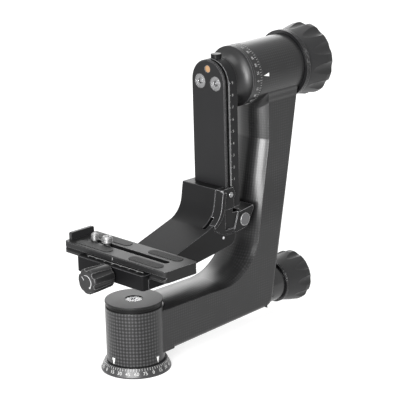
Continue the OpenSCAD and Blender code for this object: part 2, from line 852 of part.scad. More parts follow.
module tilt_brake_disc() {
  color("goldenrod") along_x(flange_x + brake_flange_t + brake_gap, tilt_z)
    ring(spindle_r, tilt_bolt_head_r + bolt_head_gap, brake_disc_t);
}

// Half section of the rail: X outward from its front face, and distance from its middle plane
module rail_half_section() {
  flank = groove_w * flank_share;
  polygon([[rail_x, 0], [rail_x, rail_r - rail_edge], [rail_x + rail_edge, rail_r], [groove_x, rail_r],
    [groove_x + flank, rail_r - groove_depth], [groove_x1, rail_r - groove_depth], [groove_x1, rail_r],
    [rail_x1 - rail_edge, rail_r], [rail_x1, rail_r - rail_edge], [rail_x1, 0]]);
}

// Turns a half section, drawn with X across and Y outward, round the tilt axis
module about_tilt(angle) {
  translate([0, 0, tilt_z]) rotate([0, 90, 0]) rotate([0, 0, 90]) rotate_extrude(angle = angle)
    rotate(90) mirror([0, 1]) children();
}

module rail_screw_places() {
  for (y = [-rail_screw_y, rail_screw_y]) translate([0, y, 0]) children();
}

// Swing rail: a straight dovetail with a round top, which bolts to the hub
module swing_rail() {
  color("#2b2b2d") difference() {
    union() {
      translate([0, 0, rail_bottom_z]) linear_extrude(tilt_z - rail_bottom_z) {
        rail_half_section();
        mirror([0, 1]) rail_half_section();
      }
      about_tilt(180) rail_half_section();
    }
    rail_screw_places() {
      along_x(rail_x - over, tilt_z)
        cylinder(r = rail_screw_d / 2 + seat_gap, h = rail_screw_head_h + over);
      along_x(rail_x, tilt_z) cylinder(r = rail_screw_r + seat_gap, h = rail_t + over);
    }
    along_x(rail_x - over, tilt_z + brass_plug_up)
      cylinder(d = brass_plug_d + 2 * seat_gap, h = brass_plug_h + over);
    translate([button_x, 0, button_bore_z]) cylinder(r = button_d / 2 + run_gap, h = rail_w);
  }
}

module rail_screws() {
  color("silver") rail_screw_places() along_x(rail_x + rail_screw_head_h, tilt_z) mirror([0, 0, 1])
    socket_screw(rail_screw_d / 2, rail_screw_head_h - part_gap, rail_screw_r,
      rail_screw_end_x - rail_x - rail_screw_head_h);
}

module brass_plug() {
  color("peru") along_x(rail_x + part_gap, tilt_z + brass_plug_up)
    cylinder(d = brass_plug_d, h = brass_plug_h - part_gap);
}

// Hub between rail and graduated ring: a neck with a concave flare
module tilt_hub() {
  flare_r = tube_r - hub_neck_r;
  rim_x = scale_ring_x - hub_rim;
  color("#2b2b2d") difference() {
    about_tilt(360) difference() {
      polygon([[rail_x1, 0], [rail_x1, tube_r], [scale_ring_x, tube_r], [scale_ring_x, hub_spigot_r],
        [hub_end_x, hub_spigot_r], [hub_end_x, 0]]);
      translate([rim_x - flare_r, tube_r]) circle(flare_r);
      translate([0, hub_neck_r]) square([rim_x - flare_r, flare_r + over]);
    }
    along_x(shaft_root_x, tilt_z) cylinder(r = shaft_r + seat_gap, h = hub_end_x);
    rail_screw_places() along_x(rail_x, tilt_z)
      cylinder(r = rail_screw_r + seat_gap, h = rail_screw_end_x - rail_x + part_gap);
  }
}

module scale_ring() {
  color("#2b2b2d") along_x(scale_ring_x, tilt_z)
    ring(tube_r, hub_spigot_r + seat_gap, tube_x - part_gap - scale_ring_x);
}

module tilt_shaft() {
  color("silver") difference() {
    union() {
      along_x(shaft_root_x, tilt_z) cylinder(r = shaft_r, h = tilt_race_b_x + race_h - shaft_root_x);
      along_x(hub_end_x, tilt_z) cylinder(r = shoulder_r, h = tilt_race_a_x - hub_end_x);
    }
    along_x(tilt_race_a_x + race_h, tilt_z) cylinder(r = shaft_bolt_r + seat_gap, h = tube_len);
  }
}

module tilt_inner_races() {
  color("silver") for (x = [tilt_race_a_x, tilt_race_b_x]) along_x(x, tilt_z) inner_race();
}

module tilt_spacer() {
  color("dimgray") along_x(tilt_race_a_x + race_h, tilt_z)
    ring(sleeve_r, shaft_r + seat_gap, tilt_race_b_x - tilt_race_a_x - race_h);
}

// Flange on the shaft's end that the tilt brake presses on
module brake_flange() {
  color("silver") difference() {
    union() {
      along_x(flange_x - brake_hub_t, tilt_z) cylinder(r = shoulder_r, h = brake_hub_t + over);
      along_x(flange_x, tilt_z) cylinder(r = brake_flange_r, h = brake_flange_t);
    }
    along_x(flange_x - 2 * over, tilt_z) cylinder(r = shaft_bolt_r + seat_gap, h = tube_len);
  }
}

module tilt_bolt() {
  color("silver") along_x(flange_x + brake_flange_t, tilt_z)
    socket_screw(tilt_bolt_head_r, tilt_bolt_head_h, shaft_bolt_r, tilt_race_b_x - tilt_race_a_x);
}

// Return spring under the push button, one wire from end to end
module button_spring() {
  ring_sides = 6;
  steps = 12;
  rings = spring_turns * steps;
  lift = (spring_h - 2 * spring_wire_r - 2 * seat_gap) / rings;
  points = [for (i = [0 : rings], k = [0 : ring_sides - 1])
    let (a = i * 360 / steps, b = k * 360 / ring_sides, r = spring_r + spring_wire_r * cos(b))
    [r * cos(a), r * sin(a), i * lift + spring_wire_r * sin(b)]];
  sides = [for (i = [0 : rings - 1], k = [0 : ring_sides - 1], t = [0, 1])
    let (a = i * ring_sides + k, b = i * ring_sides + (k + 1) % ring_sides)
    t == 0 ? [a, b, b + ring_sides] : [a, b + ring_sides, a + ring_sides]];
  ends = [for (k = [1 : ring_sides - 2], t = [0, 1])
    let (s = rings * ring_sides) t == 0 ? [0, k + 1, k] : [s, s + k, s + k + 1]];
  color("silver") translate([button_x, 0, button_bore_z + spring_wire_r + seat_gap])
    polyhedron(points, concat(sides, ends));
}

module top_button() {
  color("black") translate([button_x, 0, button_z]) rotate_extrude() difference() {
    square([button_d / 2, button_h]);
    corner_wedge([button_d / 2, 0], [button_d / 2, button_h], [0, button_h], button_edge);
  }
}

// Side outline of the bracket in X and Z: leaning wall, bend, sloping arm and underside
module bracket_outline() {
  top = [wall_x, bracket_top_z];
  arm_end = [clamp_back_x, arm_end_z];
  back_top = [bracket_back_x, bracket_top_z];
  flat_start = [under_flat_x, clamp_bottom_z];
  difference() {
    union() {
      polygon([top, bend_corner, arm_end, [clamp_back_x, clamp_bottom_z], flat_start, under_corner,
        back_top]);
      corner_wedge(top, bend_corner, arm_end, bend_r);
    }
    corner_wedge(flat_start, under_corner, back_top, under_corner_r);
  }
}

// Lug that carries the clamping bolt, in X and Z
module lug_outline() {
  bolt_place = [bolt_x, bolt_z];
  heel = [lug_x0, jaw_low_z];
  notch = [bracket_back_x + lug_notch_gap, jaw_low_z];
  toe = bolt_place + lug_toe;
  belly = bolt_place + lug_belly;
  tip = bolt_place + lug_tip;
  nose = bolt_place + lug_nose;
  brow = bolt_place + lug_brow;
  crown = [lug_x0, bolt_z + lug_crown_up];
  difference() {
    polygon([heel, notch, toe, belly, tip, nose, brow, crown]);
    corner_wedge(toe, belly, tip, lug_round);
  }
}

// Hook that reaches into the rail's groove, drawn in X and Y on the far side
module hook_section() {
  polygon([[groove_x + part_gap, channel_y + over], [groove_x + part_gap, channel_y],
    [groove_x + groove_w * flank_share + part_gap, hook_y], [hook_x1, hook_y], [hook_x1, channel_y + over]]);
}

// Space that the rail passes through, between the two hooks, from z0 upward
module rail_channel(z0) {
  difference() {
    translate([channel_x, -channel_y, z0]) cube([lug_tip_x, 2 * channel_y, bracket_top_z]);
    translate([0, 0, z0]) linear_extrude(bracket_top_z) {
      hook_section();
      mirror([0, 1]) hook_section();
    }
  }
}

// Relief pocket at the bend, which frees the jaw
module relief_pocket() {
  translate([0, 0, arm_end_z]) linear_extrude(pocket_top_z - arm_end_z) {
    translate([pocket_x0 + pocket_r, pocket_y]) circle(pocket_r);
    translate([pocket_x0 + pocket_r, pocket_y - pocket_r]) square([wall_x - pocket_x0, 2 * pocket_r]);
  }
}

// Space of the jaw in X and Z, grown by gap below
module jaw_space(gap) {
  polygon([[jaw_toe[0] - gap, bracket_top_z + over], [jaw_toe[0] - gap, jaw_toe[1]], jaw_heel - [gap, gap],
    jaw_step - [0, gap], [lug_tip_x + over, jaw_low_z - gap], [lug_tip_x + over, bracket_top_z + over]]);
}

module bolt_hole(y0, y1) {
  translate([bolt_x, y1, bolt_z]) rotate([90, 0, 0]) cylinder(r = bolt_r + run_gap, h = y1 - y0);
}

// L-shaped bracket with its channel, fixed hook, lug, bolt boss and tongue for the clamp
module l_bracket() {
  color("#2b2b2d") difference() {
    union() {
      difference() {
        y_slab(-half_w, half_w) bracket_outline();
        rail_channel(clamp_bottom_z);
        y_slab(-half_w - over, jaw_y1 + jaw_gap) jaw_space(jaw_gap);
      }
      y_slab(channel_y, half_w) lug_outline();
      y_slab(bracket_boss_y, half_w) intersection() {
        lug_outline();
        translate([boss_x0, 0]) square([lug_tip_x, bracket_top_z]);
      }
      translate([tongue_x, -tongue_w / 2, clamp_bottom_z])
        cube([clamp_back_x + over - tongue_x, tongue_w, tongue_t]);
    }
    relief_pocket();
    bolt_hole(bracket_boss_y - over, half_w + over);
    clamp_screw_places() translate([0, 0, -over])
      cylinder(r = clamp_screw_r + seat_gap, h = tongue_t + 2 * over);
    translate([pin_place[0], 0, pin_place[1]]) rotate([90, 0, 0])
      cylinder(r = pin_r + seat_gap, h = half_w + over);
  }
}

module clamp_screw_places() {
  for (y = [-clamp_screw_y, clamp_screw_y]) translate([clamp_screw_x, y, clamp_bottom_z]) children();
}

module spring_pin() {
  color("silver") translate([pin_place[0], -half_w + pin_len, pin_place[1]]) rotate([90, 0, 0])
    cylinder(r = pin_r, h = pin_len + part_gap);
}

// Moving jaw of the bracket: leaning cheek with its hook, raised front band, ear and bolt lug
module bracket_jaw() {
  color("#333335") difference() {
    union() {
      difference() {
        union() {
          y_slab(jaw_face_y, jaw_y1) intersection() {
            bracket_outline();
            jaw_space(0);
          }
          y_slab(jaw_y0, jaw_y1) intersection() {
            bracket_outline();
            jaw_space(0);
            front_band();
          }
        }
        rail_channel(clamp_bottom_z);
      }
      translate([ear_x, -channel_y, ear_z]) rotate([90, 0, 0])
        cylinder(r = ear_r, h = -jaw_face_y - channel_y);
      y_slab(-lug_face_y, -channel_y) lug_outline();
      y_slab(-lug_face_y, jaw_boss_y) intersection() {
        lug_outline();
        translate([boss_x0, 0]) square([lug_tip_x, bracket_top_z]);
      }
    }
    y_slab(jaw_y0 - over, recess_face_y) cheek_recess();
    translate([recess_left + sight_hole_r, 0, bolt_z + sight_hole_r]) rotate([90, 0, 0])
      cylinder(r = sight_hole_r, h = half_w);
    relief_pocket();
    bolt_hole(-lug_face_y - over, jaw_boss_y + over);
    translate([bolt_x, -lug_face_y + bolt_head_h / 2, bolt_z]) rotate([90, 0, 0])
      cylinder(r = bolt_head_d / 2 + seat_gap, h = bolt_head_h);
    translate([ear_x, -channel_y, ear_z]) rotate([90, 0, 0]) cylinder(r = adjust_r + seat_gap, h = jaw_w);
  }
}

// Recess of the jaw's cheek between the front band and the lug, in X and Z
module cheek_recess() {
  low = [bolt_x, bolt_z] + lug_edge_low;
  high = [bolt_x, bolt_z] + lug_edge_high;
  top_right = [high[0], recess_top_z];
  polygon([[recess_left, jaw_low_z + recess_low[1]], [low[0] - recess_low[0], jaw_low_z + recess_low[1]], low,
    high, top_right, [recess_left, recess_top_z]]);
}

// Band of even width behind the bracket's leaning wall
module front_band() {
  difference() {
    bracket_outline();
    translate([band_t, -over]) bracket_outline();
    translate([wall_x, bracket_top_z - 2 * over]) square([bracket_back_x, 3 * over]);
  }
}

module jaw_adjust_screw() {
  color("silver") translate([ear_x, -channel_y - part_gap, ear_z]) rotate([90, 0, 0]) difference() {
    cylinder(r = adjust_r, h = -jaw_face_y - channel_y);
    translate([0, 0, part_gap * 5])
      cylinder(r = adjust_r * hex_share, h = -jaw_face_y - channel_y, $fn = hex_sides);
  }
}

module bracket_bolt() {
  color("silver") translate([bolt_x, -lug_face_y + bolt_head_h / 2, bolt_z]) rotate([90, 0, 0])
    union() {
      cylinder(r = bolt_head_d / 2, h = bolt_head_h);
      translate([0, 0, -bolt_len]) cylinder(r = bolt_r, h = bolt_len + bolt_head_h / 2);
    }
}

module bracket_knob() {
  root_r = (bracket_knob_d - knob_root_in) / 2;
  color("#333333") translate([bolt_x, half_w + bracket_knob_gap, bolt_z]) rotate([-90, 0, 0]) difference() {
    lobed_knob(bracket_knob_len, root_r, bracket_knob_d / 2, bracket_knob_lobes, small_knob_edge,
      small_flute_share, small_depth_share);
    translate([0, 0, -over]) cylinder(r = bolt_r + run_gap, h = over + bracket_knob_len - knob_cap_t);
  }
}

// Plan of a plate with rounded corners, from a to b in X and Y
module round_plan(a, b, r) {
  difference() {
    translate(a) square(b - a);
    corner_wedge([a[0], b[1]], a, [b[0], a[1]], r);
    corner_wedge(b, [a[0], b[1]], a, r);
    corner_wedge([b[0], a[1]], b, [a[0], b[1]], r);
    corner_wedge(a, [b[0], a[1]], b, r);
  }
}

// Section of a clamp jaw in X and Z on the far side, from x0 outward to x1
module jaw_section(x0, x1) {
  inner = plate_x + part_gap;
  polygon([[x0, clamp_bottom_z], [x1, clamp_bottom_z], [x1, jaw_top_z],
    [inner - dovetail_in, jaw_top_z], [inner - dovetail_in, dovetail_edge_z + dovetail_in],
    [inner, dovetail_edge_z], [inner, clamp_floor_z], [x0, clamp_floor_z]]);
}

// Clamp body: floor under the plate with its fixed jaw, on the bracket's tongue
module clamp_body() {
  tongue_gap = seat_gap;
  color("#2b2b2d") difference() {
    intersection() {
      y_slab(-clamp_len / 2, clamp_len / 2) jaw_section(clamp_inner_x, clamp_back_x);
      translate([0, 0, clamp_bottom_z]) linear_extrude(plate_t * 2)
        round_plan([clamp_x - clamp_corner_r, -clamp_len / 2], [clamp_back_x, clamp_len / 2],
          clamp_corner_r / 2);
    }
    translate([tongue_x - tongue_gap, -tongue_w / 2 - tongue_gap, clamp_bottom_z - over])
      cube([clamp_back_x, tongue_w + 2 * tongue_gap, tongue_t + tongue_gap + over]);
    clamp_screw_places() {
      cylinder(r = clamp_screw_r + seat_gap, h = plate_t);
      translate([0, 0, clamp_floor_z - clamp_bottom_z - clamp_screw_head_h])
        cylinder(r = clamp_screw_head_r + seat_gap, h = plate_t);
    }
    along_x(clamp_inner_x - over, clamp_stud_z)
      cylinder(r = clamp_stud_r + run_gap, h = over - clamp_inner_x);
    guide_pin_places() cylinder(r = guide_pin_r + run_gap, h = guide_pin_end_x - clamp_inner_x + over);
  }
}

module guide_pin_places() {
  for (y = [-guide_pin_y, guide_pin_y]) translate([0, y, 0])
    along_x(clamp_inner_x - over, guide_pin_z) children();
}

module clamp_screws() {
  color("silver") clamp_screw_places() translate([0, 0, clamp_floor_z - clamp_bottom_z - clamp_screw_head_h])
    socket_screw(clamp_screw_head_r, clamp_screw_head_h - part_gap, clamp_screw_r,
      clamp_floor_z - clamp_bottom_z - clamp_screw_head_h - part_gap);
}

// Moving jaw of the plate clamp, with the knob's stud hole and seats for its guide pins
module clamp_jaw() {
  color("#2b2b2d") difference() {
    intersection() {
      mirror([1, 0, 0]) y_slab(-clamp_len / 2, clamp_len / 2)
        jaw_section(-clamp_inner_x + clamp_jaw_gap, -clamp_x);
      translate([0, 0, clamp_bottom_z]) linear_extrude(plate_t * 2)
        round_plan([clamp_x, -clamp_len / 2], [clamp_back_x, clamp_len / 2], clamp_corner_r);
    }
    along_x(clamp_x - over, clamp_stud_z) cylinder(r = clamp_stud_r + run_gap, h = clamp_back_x);
    guide_pin_places() translate([0, 0, -guide_pin_grip])
      cylinder(r = guide_pin_r + seat_gap, h = clamp_back_x);
  }
}

module clamp_guide_pins() {
  color("silver") guide_pin_places() translate([0, 0, seat_gap - guide_pin_grip])
    cylinder(r = guide_pin_r, h = guide_pin_end_x - clamp_inner_x);
}

module clamp_knob() {
  color("#333333") difference() {
    union() {
      along_x(clamp_knob_x, clamp_stud_z) mirror([0, 0, 1])
        lobed_knob(clamp_knob_len, clamp_knob_d / 2 - knob_root_in / 2, clamp_knob_d / 2, clamp_knob_lobes,
          small_knob_edge, small_flute_share, small_depth_share);
      along_x(clamp_knob_x - over, clamp_stud_z)
        cylinder(r = clamp_washer_r, h = over + clamp_x - part_gap - clamp_knob_x);
    }
    along_x(clamp_knob_x - clamp_knob_len / 2, clamp_stud_z)
      cylinder(r = clamp_stud_r + seat_gap, h = clamp_knob_len);
  }
}

module clamp_stud() {
  start = clamp_knob_x - clamp_knob_len / 2;
  color("silver") along_x(start + seat_gap, clamp_stud_z)
    cylinder(r = clamp_stud_r, h = clamp_stud_end_x - start);
}

// Section of the lens plate in X and Z: dovetail foot, notch and upper flange
module plate_section() {
  bottom = plate_top_z - plate_t;
  notch_z = dovetail_edge_z + dovetail_in;
  polygon(mirrored([[plate_x - plate_edge, bottom], [plate_x, bottom + plate_edge],
    [plate_x, dovetail_edge_z], [plate_x - dovetail_in, notch_z],
    [plate_x - dovetail_in, notch_z + plate_notch_h], [plate_x, plate_flange_z],
    [plate_x, plate_top_z - plate_edge], [plate_x - plate_edge, plate_top_z]]));
}

module stadium(y0, y1, w) {
  translate([0, y0 + w / 2]) circle(w / 2);
  translate([0, y1 - w / 2]) circle(w / 2);
  translate([-w / 2, y0 + w / 2]) square([w, y1 - y0 - w]);
}

module pad_places() {
  for (x = [-pad_x, pad_x], y = [pad_near_y, pad_far_y]) translate([x, y]) children();
}

module lens_plate() {
  color("#4a4a4c") difference() {
    intersection() {
      y_slab(plate_y0, plate_y1) plate_section();
      translate([0, 0, plate_top_z - plate_t]) linear_extrude(plate_t)
        round_plan([-plate_x, plate_y0], [plate_x, plate_y1], plate_corner_r);
    }
    translate([0, 0, plate_top_z - plate_t - over]) linear_extrude(plate_t + 2 * over)
      stadium(slot_y0, slot_y1, slot_w);
    translate([0, 0, plate_top_z - plate_t - over]) linear_extrude(recess_z - plate_top_z + plate_t + over)
      stadium(slot_y0 - recess_end, slot_y1 + recess_end, recess_w);
    translate([0, 0, plate_top_z - pad_t + pad_out]) linear_extrude(pad_t) pad_places()
      stadium(-pad_len / 2 - seat_gap, pad_len / 2 + seat_gap, pad_w + 2 * seat_gap);
    translate([-lip_w / 2, lip_y, plate_top_z - lip_depth]) cube([lip_w, lip_t, lip_depth + over]);
  }
}

module plate_pads() {
  color("#2a2a2a") translate([0, 0, plate_top_z - pad_t + pad_out]) linear_extrude(pad_t) pad_places()
    stadium(-pad_len / 2, pad_len / 2, pad_w);
}

// Stop lip that keeps the camera from turning
module stop_lip() {
  top = plate_top_z + lip_out;
  low = plate_top_z - lip_depth;
  color("#2b2b2d") y_slab(lip_y, lip_y + lip_t) difference() {
    polygon([[-lip_w / 2, low], [lip_w / 2, low], [lip_w / 2, top], [-lip_w / 2, top]]);
    corner_wedge([lip_w / 2, low], [lip_w / 2, top], [-lip_w / 2, top], lip_edge);
    corner_wedge([-lip_w / 2, low], [-lip_w / 2, top], [lip_w / 2, top], lip_edge);
  }
}

module screw_washer(y) {
  color("silver") translate([0, y, recess_z - part_gap / 2 - washer_t])
    ring(washer_r, quarter_r + part_gap, washer_t);
}

// Camera screw: slotted head in the recess, shank through the slot and thread above the plate
module camera_screw(y, thread_r, shank_r) {
  head_z = recess_z - part_gap / 2 - washer_t - head_gap - head_h;
  thread_z = plate_top_z + part_gap;
  slot_h = head_h / 3;
  color("silver") translate([0, y, 0]) difference() {
    union() {
      translate([0, 0, head_z]) cylinder(r = head_r, h = head_h);
      translate([0, 0, head_z]) cylinder(r = shank_r, h = thread_z - head_z + over);
      translate([0, 0, thread_z]) cylinder(r = thread_r, h = screw_out);
    }
    translate([-head_r - over, -slot_h / 2, head_z - over])
      cube([2 * head_r + 2 * over, slot_h, slot_h + over]);
  }
}

module quarter_washer() screw_washer(quarter_y);
module quarter_screw() camera_screw(quarter_y, quarter_r, neck_r);
module three_eighths_washer() screw_washer(three_eighths_y);
module three_eighths_screw() camera_screw(three_eighths_y, three_eighths_r, neck_r);

base_flange();
base_screws();
tripod_insert();
pan_shaft();
pan_inner_races();
pan_brake_sleeve();
pan_washer();
pan_screw();
arm_shell();
pan_cap();
cap_ring();
pan_outer_races();
pan_retaining_ring();
tilt_outer_races();
tilt_retaining_rings();
pan_lock_collar();
pan_balls();
tilt_balls();
pan_knob();
pan_knob_ring();
pan_spindle();
pan_knob_screw();
pan_brake_rod();
pan_brake_shoe();
tilt_knob();
tilt_knob_ring();
tilt_spindle();
tilt_knob_screw();
tilt_brake_disc();
swing_rail();
tilt_hub();
scale_ring();
tilt_shaft();
tilt_inner_races();
tilt_spacer();
brake_flange();
tilt_bolt();
rail_screws();
brass_plug();
button_spring();
top_button();
l_bracket();
clamp_body();
clamp_screws();
spring_pin();
bracket_jaw();
jaw_adjust_screw();
bracket_bolt();
bracket_knob();
clamp_jaw();
clamp_guide_pins();
clamp_knob();
clamp_stud();
lens_plate();
plate_pads();
stop_lip();
quarter_washer();
quarter_screw();
three_eighths_washer();
three_eighths_screw();
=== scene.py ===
import math

import bmesh
import bpy
from mathutils import Matrix, Vector


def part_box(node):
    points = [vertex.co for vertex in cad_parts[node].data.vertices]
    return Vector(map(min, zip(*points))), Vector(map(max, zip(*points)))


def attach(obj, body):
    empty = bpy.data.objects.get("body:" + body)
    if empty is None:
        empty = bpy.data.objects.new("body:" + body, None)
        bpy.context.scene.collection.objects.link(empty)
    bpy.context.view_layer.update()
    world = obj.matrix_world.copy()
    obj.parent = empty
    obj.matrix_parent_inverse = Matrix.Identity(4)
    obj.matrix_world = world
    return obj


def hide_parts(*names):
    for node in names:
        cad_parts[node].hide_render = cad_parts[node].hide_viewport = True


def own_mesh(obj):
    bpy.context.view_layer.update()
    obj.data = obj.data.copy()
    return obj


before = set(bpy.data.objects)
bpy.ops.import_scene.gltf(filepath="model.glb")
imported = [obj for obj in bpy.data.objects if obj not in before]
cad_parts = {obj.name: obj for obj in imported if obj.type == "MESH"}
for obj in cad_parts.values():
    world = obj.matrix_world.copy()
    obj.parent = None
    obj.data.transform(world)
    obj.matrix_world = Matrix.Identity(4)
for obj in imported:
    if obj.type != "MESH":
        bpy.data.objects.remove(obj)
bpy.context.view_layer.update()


# ---------------------------------------------------------------- camera
# A long lens 1.6 m away, in front of the open side and a little above it, keeps the head's edges
# nearly parallel. Its three directions are given as unit vectors.
def add_to_scene(name, data):
    """A new object of the scene that holds the data."""
    made = bpy.data.objects.new(name, data)
    bpy.context.scene.collection.objects.link(made)
    return made


camera_place = Vector((-0.985715, -1.096755, 0.599186))
camera_right = Vector((0.71110, -0.70263, -0.02555))
camera_up = Vector((0.22378, 0.19174, 0.95559))
camera_ahead = Vector((0.66653, 0.68524, -0.29358))
camera = add_to_scene("camera", bpy.data.cameras.new("camera"))
camera.matrix_world = Matrix((camera_right, camera_up, -camera_ahead)).transposed().to_4x4()
camera.matrix_world.translation = camera_place
camera.data.sensor_width = 36
camera.data.lens = 166.82
camera.data.clip_end = 40
bpy.context.scene.camera = camera

# ---------------------------------------------------------------- floor and studio light
# A pale seamless floor under five soft lamps: one over the head, two beside the camera, a strip at
# the open side and one at the back. The white around the head is the surround's own colour.
MM = 0.001
FLOOR_HALF = 6.0
FLOOR_DROP = 0.2 * MM
FLOOR_GREY = 0.45
WHITE_SHARE = 0.77
ROOM_LIGHT = 0.42
HEAD_MIDDLE = Vector((0.08, 0.0, 0.13))


def put(tree, kind, inputs=None, **settings):
    """Adds a shader node. An input that is a socket is linked, and any other value is set."""
    node = tree.nodes.new("ShaderNode" + kind)
    for key, value in settings.items():
        setattr(node, key, value)
    for key, value in (inputs or {}).items():
        if isinstance(value, bpy.types.NodeSocket):
            tree.links.new(value, node.inputs[key])
        else:
            node.inputs[key].default_value = value
    return node


def calc(tree, operation, *terms):
    """One step of arithmetic between sockets or numbers."""
    return put(tree, "Math", dict(enumerate(terms)), operation=operation).outputs[0]


def seen_directly(tree):
    """1 for rays that meet a plain white surround, in the picture or mirrored in metal."""
    rays = put(tree, "LightPath").outputs
    return calc(tree, "MAXIMUM", rays["Is Camera Ray"],
                calc(tree, "MAXIMUM", rays["Is Glossy Ray"], rays["Is Transmission Ray"]))


def diffuser(name, place, size, watts):
    """A softbox of that width and height in metres, pointing at the middle of the head."""
    lamp = bpy.data.lights.new(name, "AREA")
    lamp.shape = "RECTANGLE"
    lamp.size, lamp.size_y = size
    lamp.energy = watts
    stand = add_to_scene(name, lamp)
    stand.location = place
    stand.rotation_euler = (HEAD_MIDDLE - Vector(place)).to_track_quat("-Z", "Y").to_euler()


world = bpy.data.worlds.new("studio")
world.use_nodes = True
bpy.context.scene.world = world
room = world.node_tree
background = room.nodes["Background"]
background.inputs["Color"].default_value = (1, 1, 1, 1)
brightness = put(room, "MapRange",
                 {"Value": seen_directly(room), "To Min": ROOM_LIGHT, "To Max": 1.0})
room.links.new(brightness.outputs["Result"], background.inputs["Strength"])

floor_mesh = bpy.data.meshes.new("floor")
floor_corners = [(-FLOOR_HALF, -FLOOR_HALF, 0), (FLOOR_HALF, -FLOOR_HALF, 0),
                 (FLOOR_HALF, FLOOR_HALF, 0), (-FLOOR_HALF, FLOOR_HALF, 0)]
floor_mesh.from_pydata(floor_corners, [], [(0, 1, 2, 3)])
floor = add_to_scene("floor", floor_mesh)
floor.location.z = -FLOOR_DROP
floor_finish = bpy.data.materials.new("pale_floor")
floor_finish.use_nodes = True
tree = floor_finish.node_tree
tree.nodes.clear()
matt = put(tree, "BsdfDiffuse", {"Color": (FLOOR_GREY, FLOOR_GREY, FLOOR_GREY, 1)})
glow = put(tree, "Emission", {"Strength": calc(tree, "MULTIPLY", seen_directly(tree), WHITE_SHARE)})
both = put(tree, "AddShader", {0: matt.outputs[0], 1: glow.outputs[0]})
put(tree, "OutputMaterial", {"Surface": both.outputs[0]})
floor_mesh.materials.append(floor_finish)

diffuser("overhead", place=(0.1, 0.2, 1.5), size=(1.2, 1.2), watts=12)
diffuser("low_beside_camera", place=(-1.27, -0.77, 0.2), size=(0.6, 0.34), watts=30)
diffuser("high_beside_camera", place=(-1.13, -0.69, 0.8), size=(1.0, 0.4), watts=21)
diffuser("open_side_strip", place=(-1.48, 0.1, 0.35), size=(0.35, 0.6), watts=9)
diffuser("back_fill", place=(1.2, 1.2, 0.66), size=(1.2, 1.0), watts=8)


# ---------------------------------------------------------------- base flange
# Turned aluminium disc with a sloping edge, anodised satin black, screwed to the pan shaft from
# below. Its edge carries the pan scale, engraved and filled with white.
def node_group(name, inputs, outputs):
    """A new shader node group, with the sockets of its inputs and of its outputs."""
    group = bpy.data.node_groups.new(name, "ShaderNodeTree")
    for label, value in inputs.items():
        kind = {tuple: "Color", Vector: "Vector"}.get(type(value), "Float")
        socket = group.interface.new_socket(name=label, in_out="INPUT",
                                            socket_type="NodeSocket" + kind)
        socket.default_value = value
    for label, kind in outputs.items():
        group.interface.new_socket(name=label, in_out="OUTPUT", socket_type="NodeSocket" + kind)
    given = group.nodes.new("NodeGroupInput").outputs
    result = group.nodes.new("NodeGroupOutput").inputs
    return group, given, result


def use(tree, group, **values):
    """Places a node group in a material. Underscores in the names stand for spaces."""
    node = tree.nodes.new("ShaderNodeGroup")
    node.node_tree = group
    for key, value in values.items():
        socket = node.inputs[key.replace("_", " ")]
        if isinstance(value, bpy.types.NodeSocket):
            tree.links.new(value, socket)
        else:
            socket.default_value = value
    return node.outputs


# Fine grain of a blasted or moulded surface, with slow clouds of tone and gloss
FINE_SHARE = 0.65
CLOUDS_PER_METRE = 38.0
NOISE_MEAN = 0.5
grain_group, given, result = node_group(
    "surface_grain",
    {"Color": (0.5, 0.5, 0.5, 1), "Size": 0.3 * MM, "Contrast": 0.2, "Roughness": 0.4,
     "Gloss Change": 0.1},
    {"Color": "Color", "Roughness": "Float", "Height": "Float"})
tree = grain_group
here = put(tree, "TexCoord").outputs["Object"]
fine = put(tree, "TexNoise", {"Vector": here, "Scale": calc(tree, "DIVIDE", 1.0, given["Size"]),
                              "Detail": 3.0, "Roughness": 0.6}).outputs[0]
cloud = put(tree, "TexNoise",
            {"Vector": here, "Scale": CLOUDS_PER_METRE, "Detail": 2.0}).outputs[0]
tone = calc(tree, "ADD", calc(tree, "MULTIPLY", fine, FINE_SHARE),
            calc(tree, "MULTIPLY", cloud, 1 - FINE_SHARE))
tone = calc(tree, "MULTIPLY", calc(tree, "SUBTRACT", tone, NOISE_MEAN), given["Contrast"])
tinted = put(tree, "HueSaturation", {"Color": given["Color"],
                                     "Value": calc(tree, "MULTIPLY_ADD", tone, 2.0, 1.0)})
gloss = calc(tree, "MULTIPLY", calc(tree, "SUBTRACT", cloud, NOISE_MEAN), given["Gloss Change"])
tree.links.new(tinted.outputs[0], result["Color"])
tree.links.new(calc(tree, "ADD", given["Roughness"], gloss), result["Roughness"])
tree.links.new(fine, result["Height"])

# Edges that are broken by a small radius, with a painted highlight in patches where they stick out
GLINT_GAIN = 3.4
PATCHES_PER_METRE = 420.0
THIN_LEVEL = 0.7
THICK_LEVEL = 0.95
REACH = 3.0
edge_group, given, result = node_group("broken_edges", {"Radius": 0.4 * MM, "Wear": 0.5},
                                       {"Edge": "Float", "Normal": "Vector"})
tree = edge_group
rounded = put(tree, "Bevel", {"Radius": given["Radius"]}, samples=6).outputs[0]
flat = put(tree, "NewGeometry").outputs["Normal"]
turn = put(tree, "VectorMath", {0: rounded, 1: flat}, operation="DOT_PRODUCT").outputs["Value"]
patchy = put(tree, "TexNoise", {"Vector": put(tree, "TexCoord").outputs["Object"],
                                "Scale": PATCHES_PER_METRE, "Detail": 3.0}).outputs[0]
# Painted edge highlight: it grows as the rounded normal turns away from the flat one
edge_glint = calc(tree, "MULTIPLY", calc(tree, "SUBTRACT", 1.0, turn), GLINT_GAIN)
patchy = calc(tree, "MULTIPLY", patchy, 1 / NOISE_MEAN)
edge_glint = calc(tree, "MULTIPLY", calc(tree, "MULTIPLY", edge_glint, patchy), given["Wear"])
reach = calc(tree, "MULTIPLY", given["Radius"], REACH)
solid = put(tree, "AmbientOcclusion", {"Distance": reach}, samples=6, inside=True).outputs["AO"]
sticks_out = put(tree, "MapRange", {"Value": solid, "From Min": THICK_LEVEL,
                                    "From Max": THIN_LEVEL}).outputs[0]
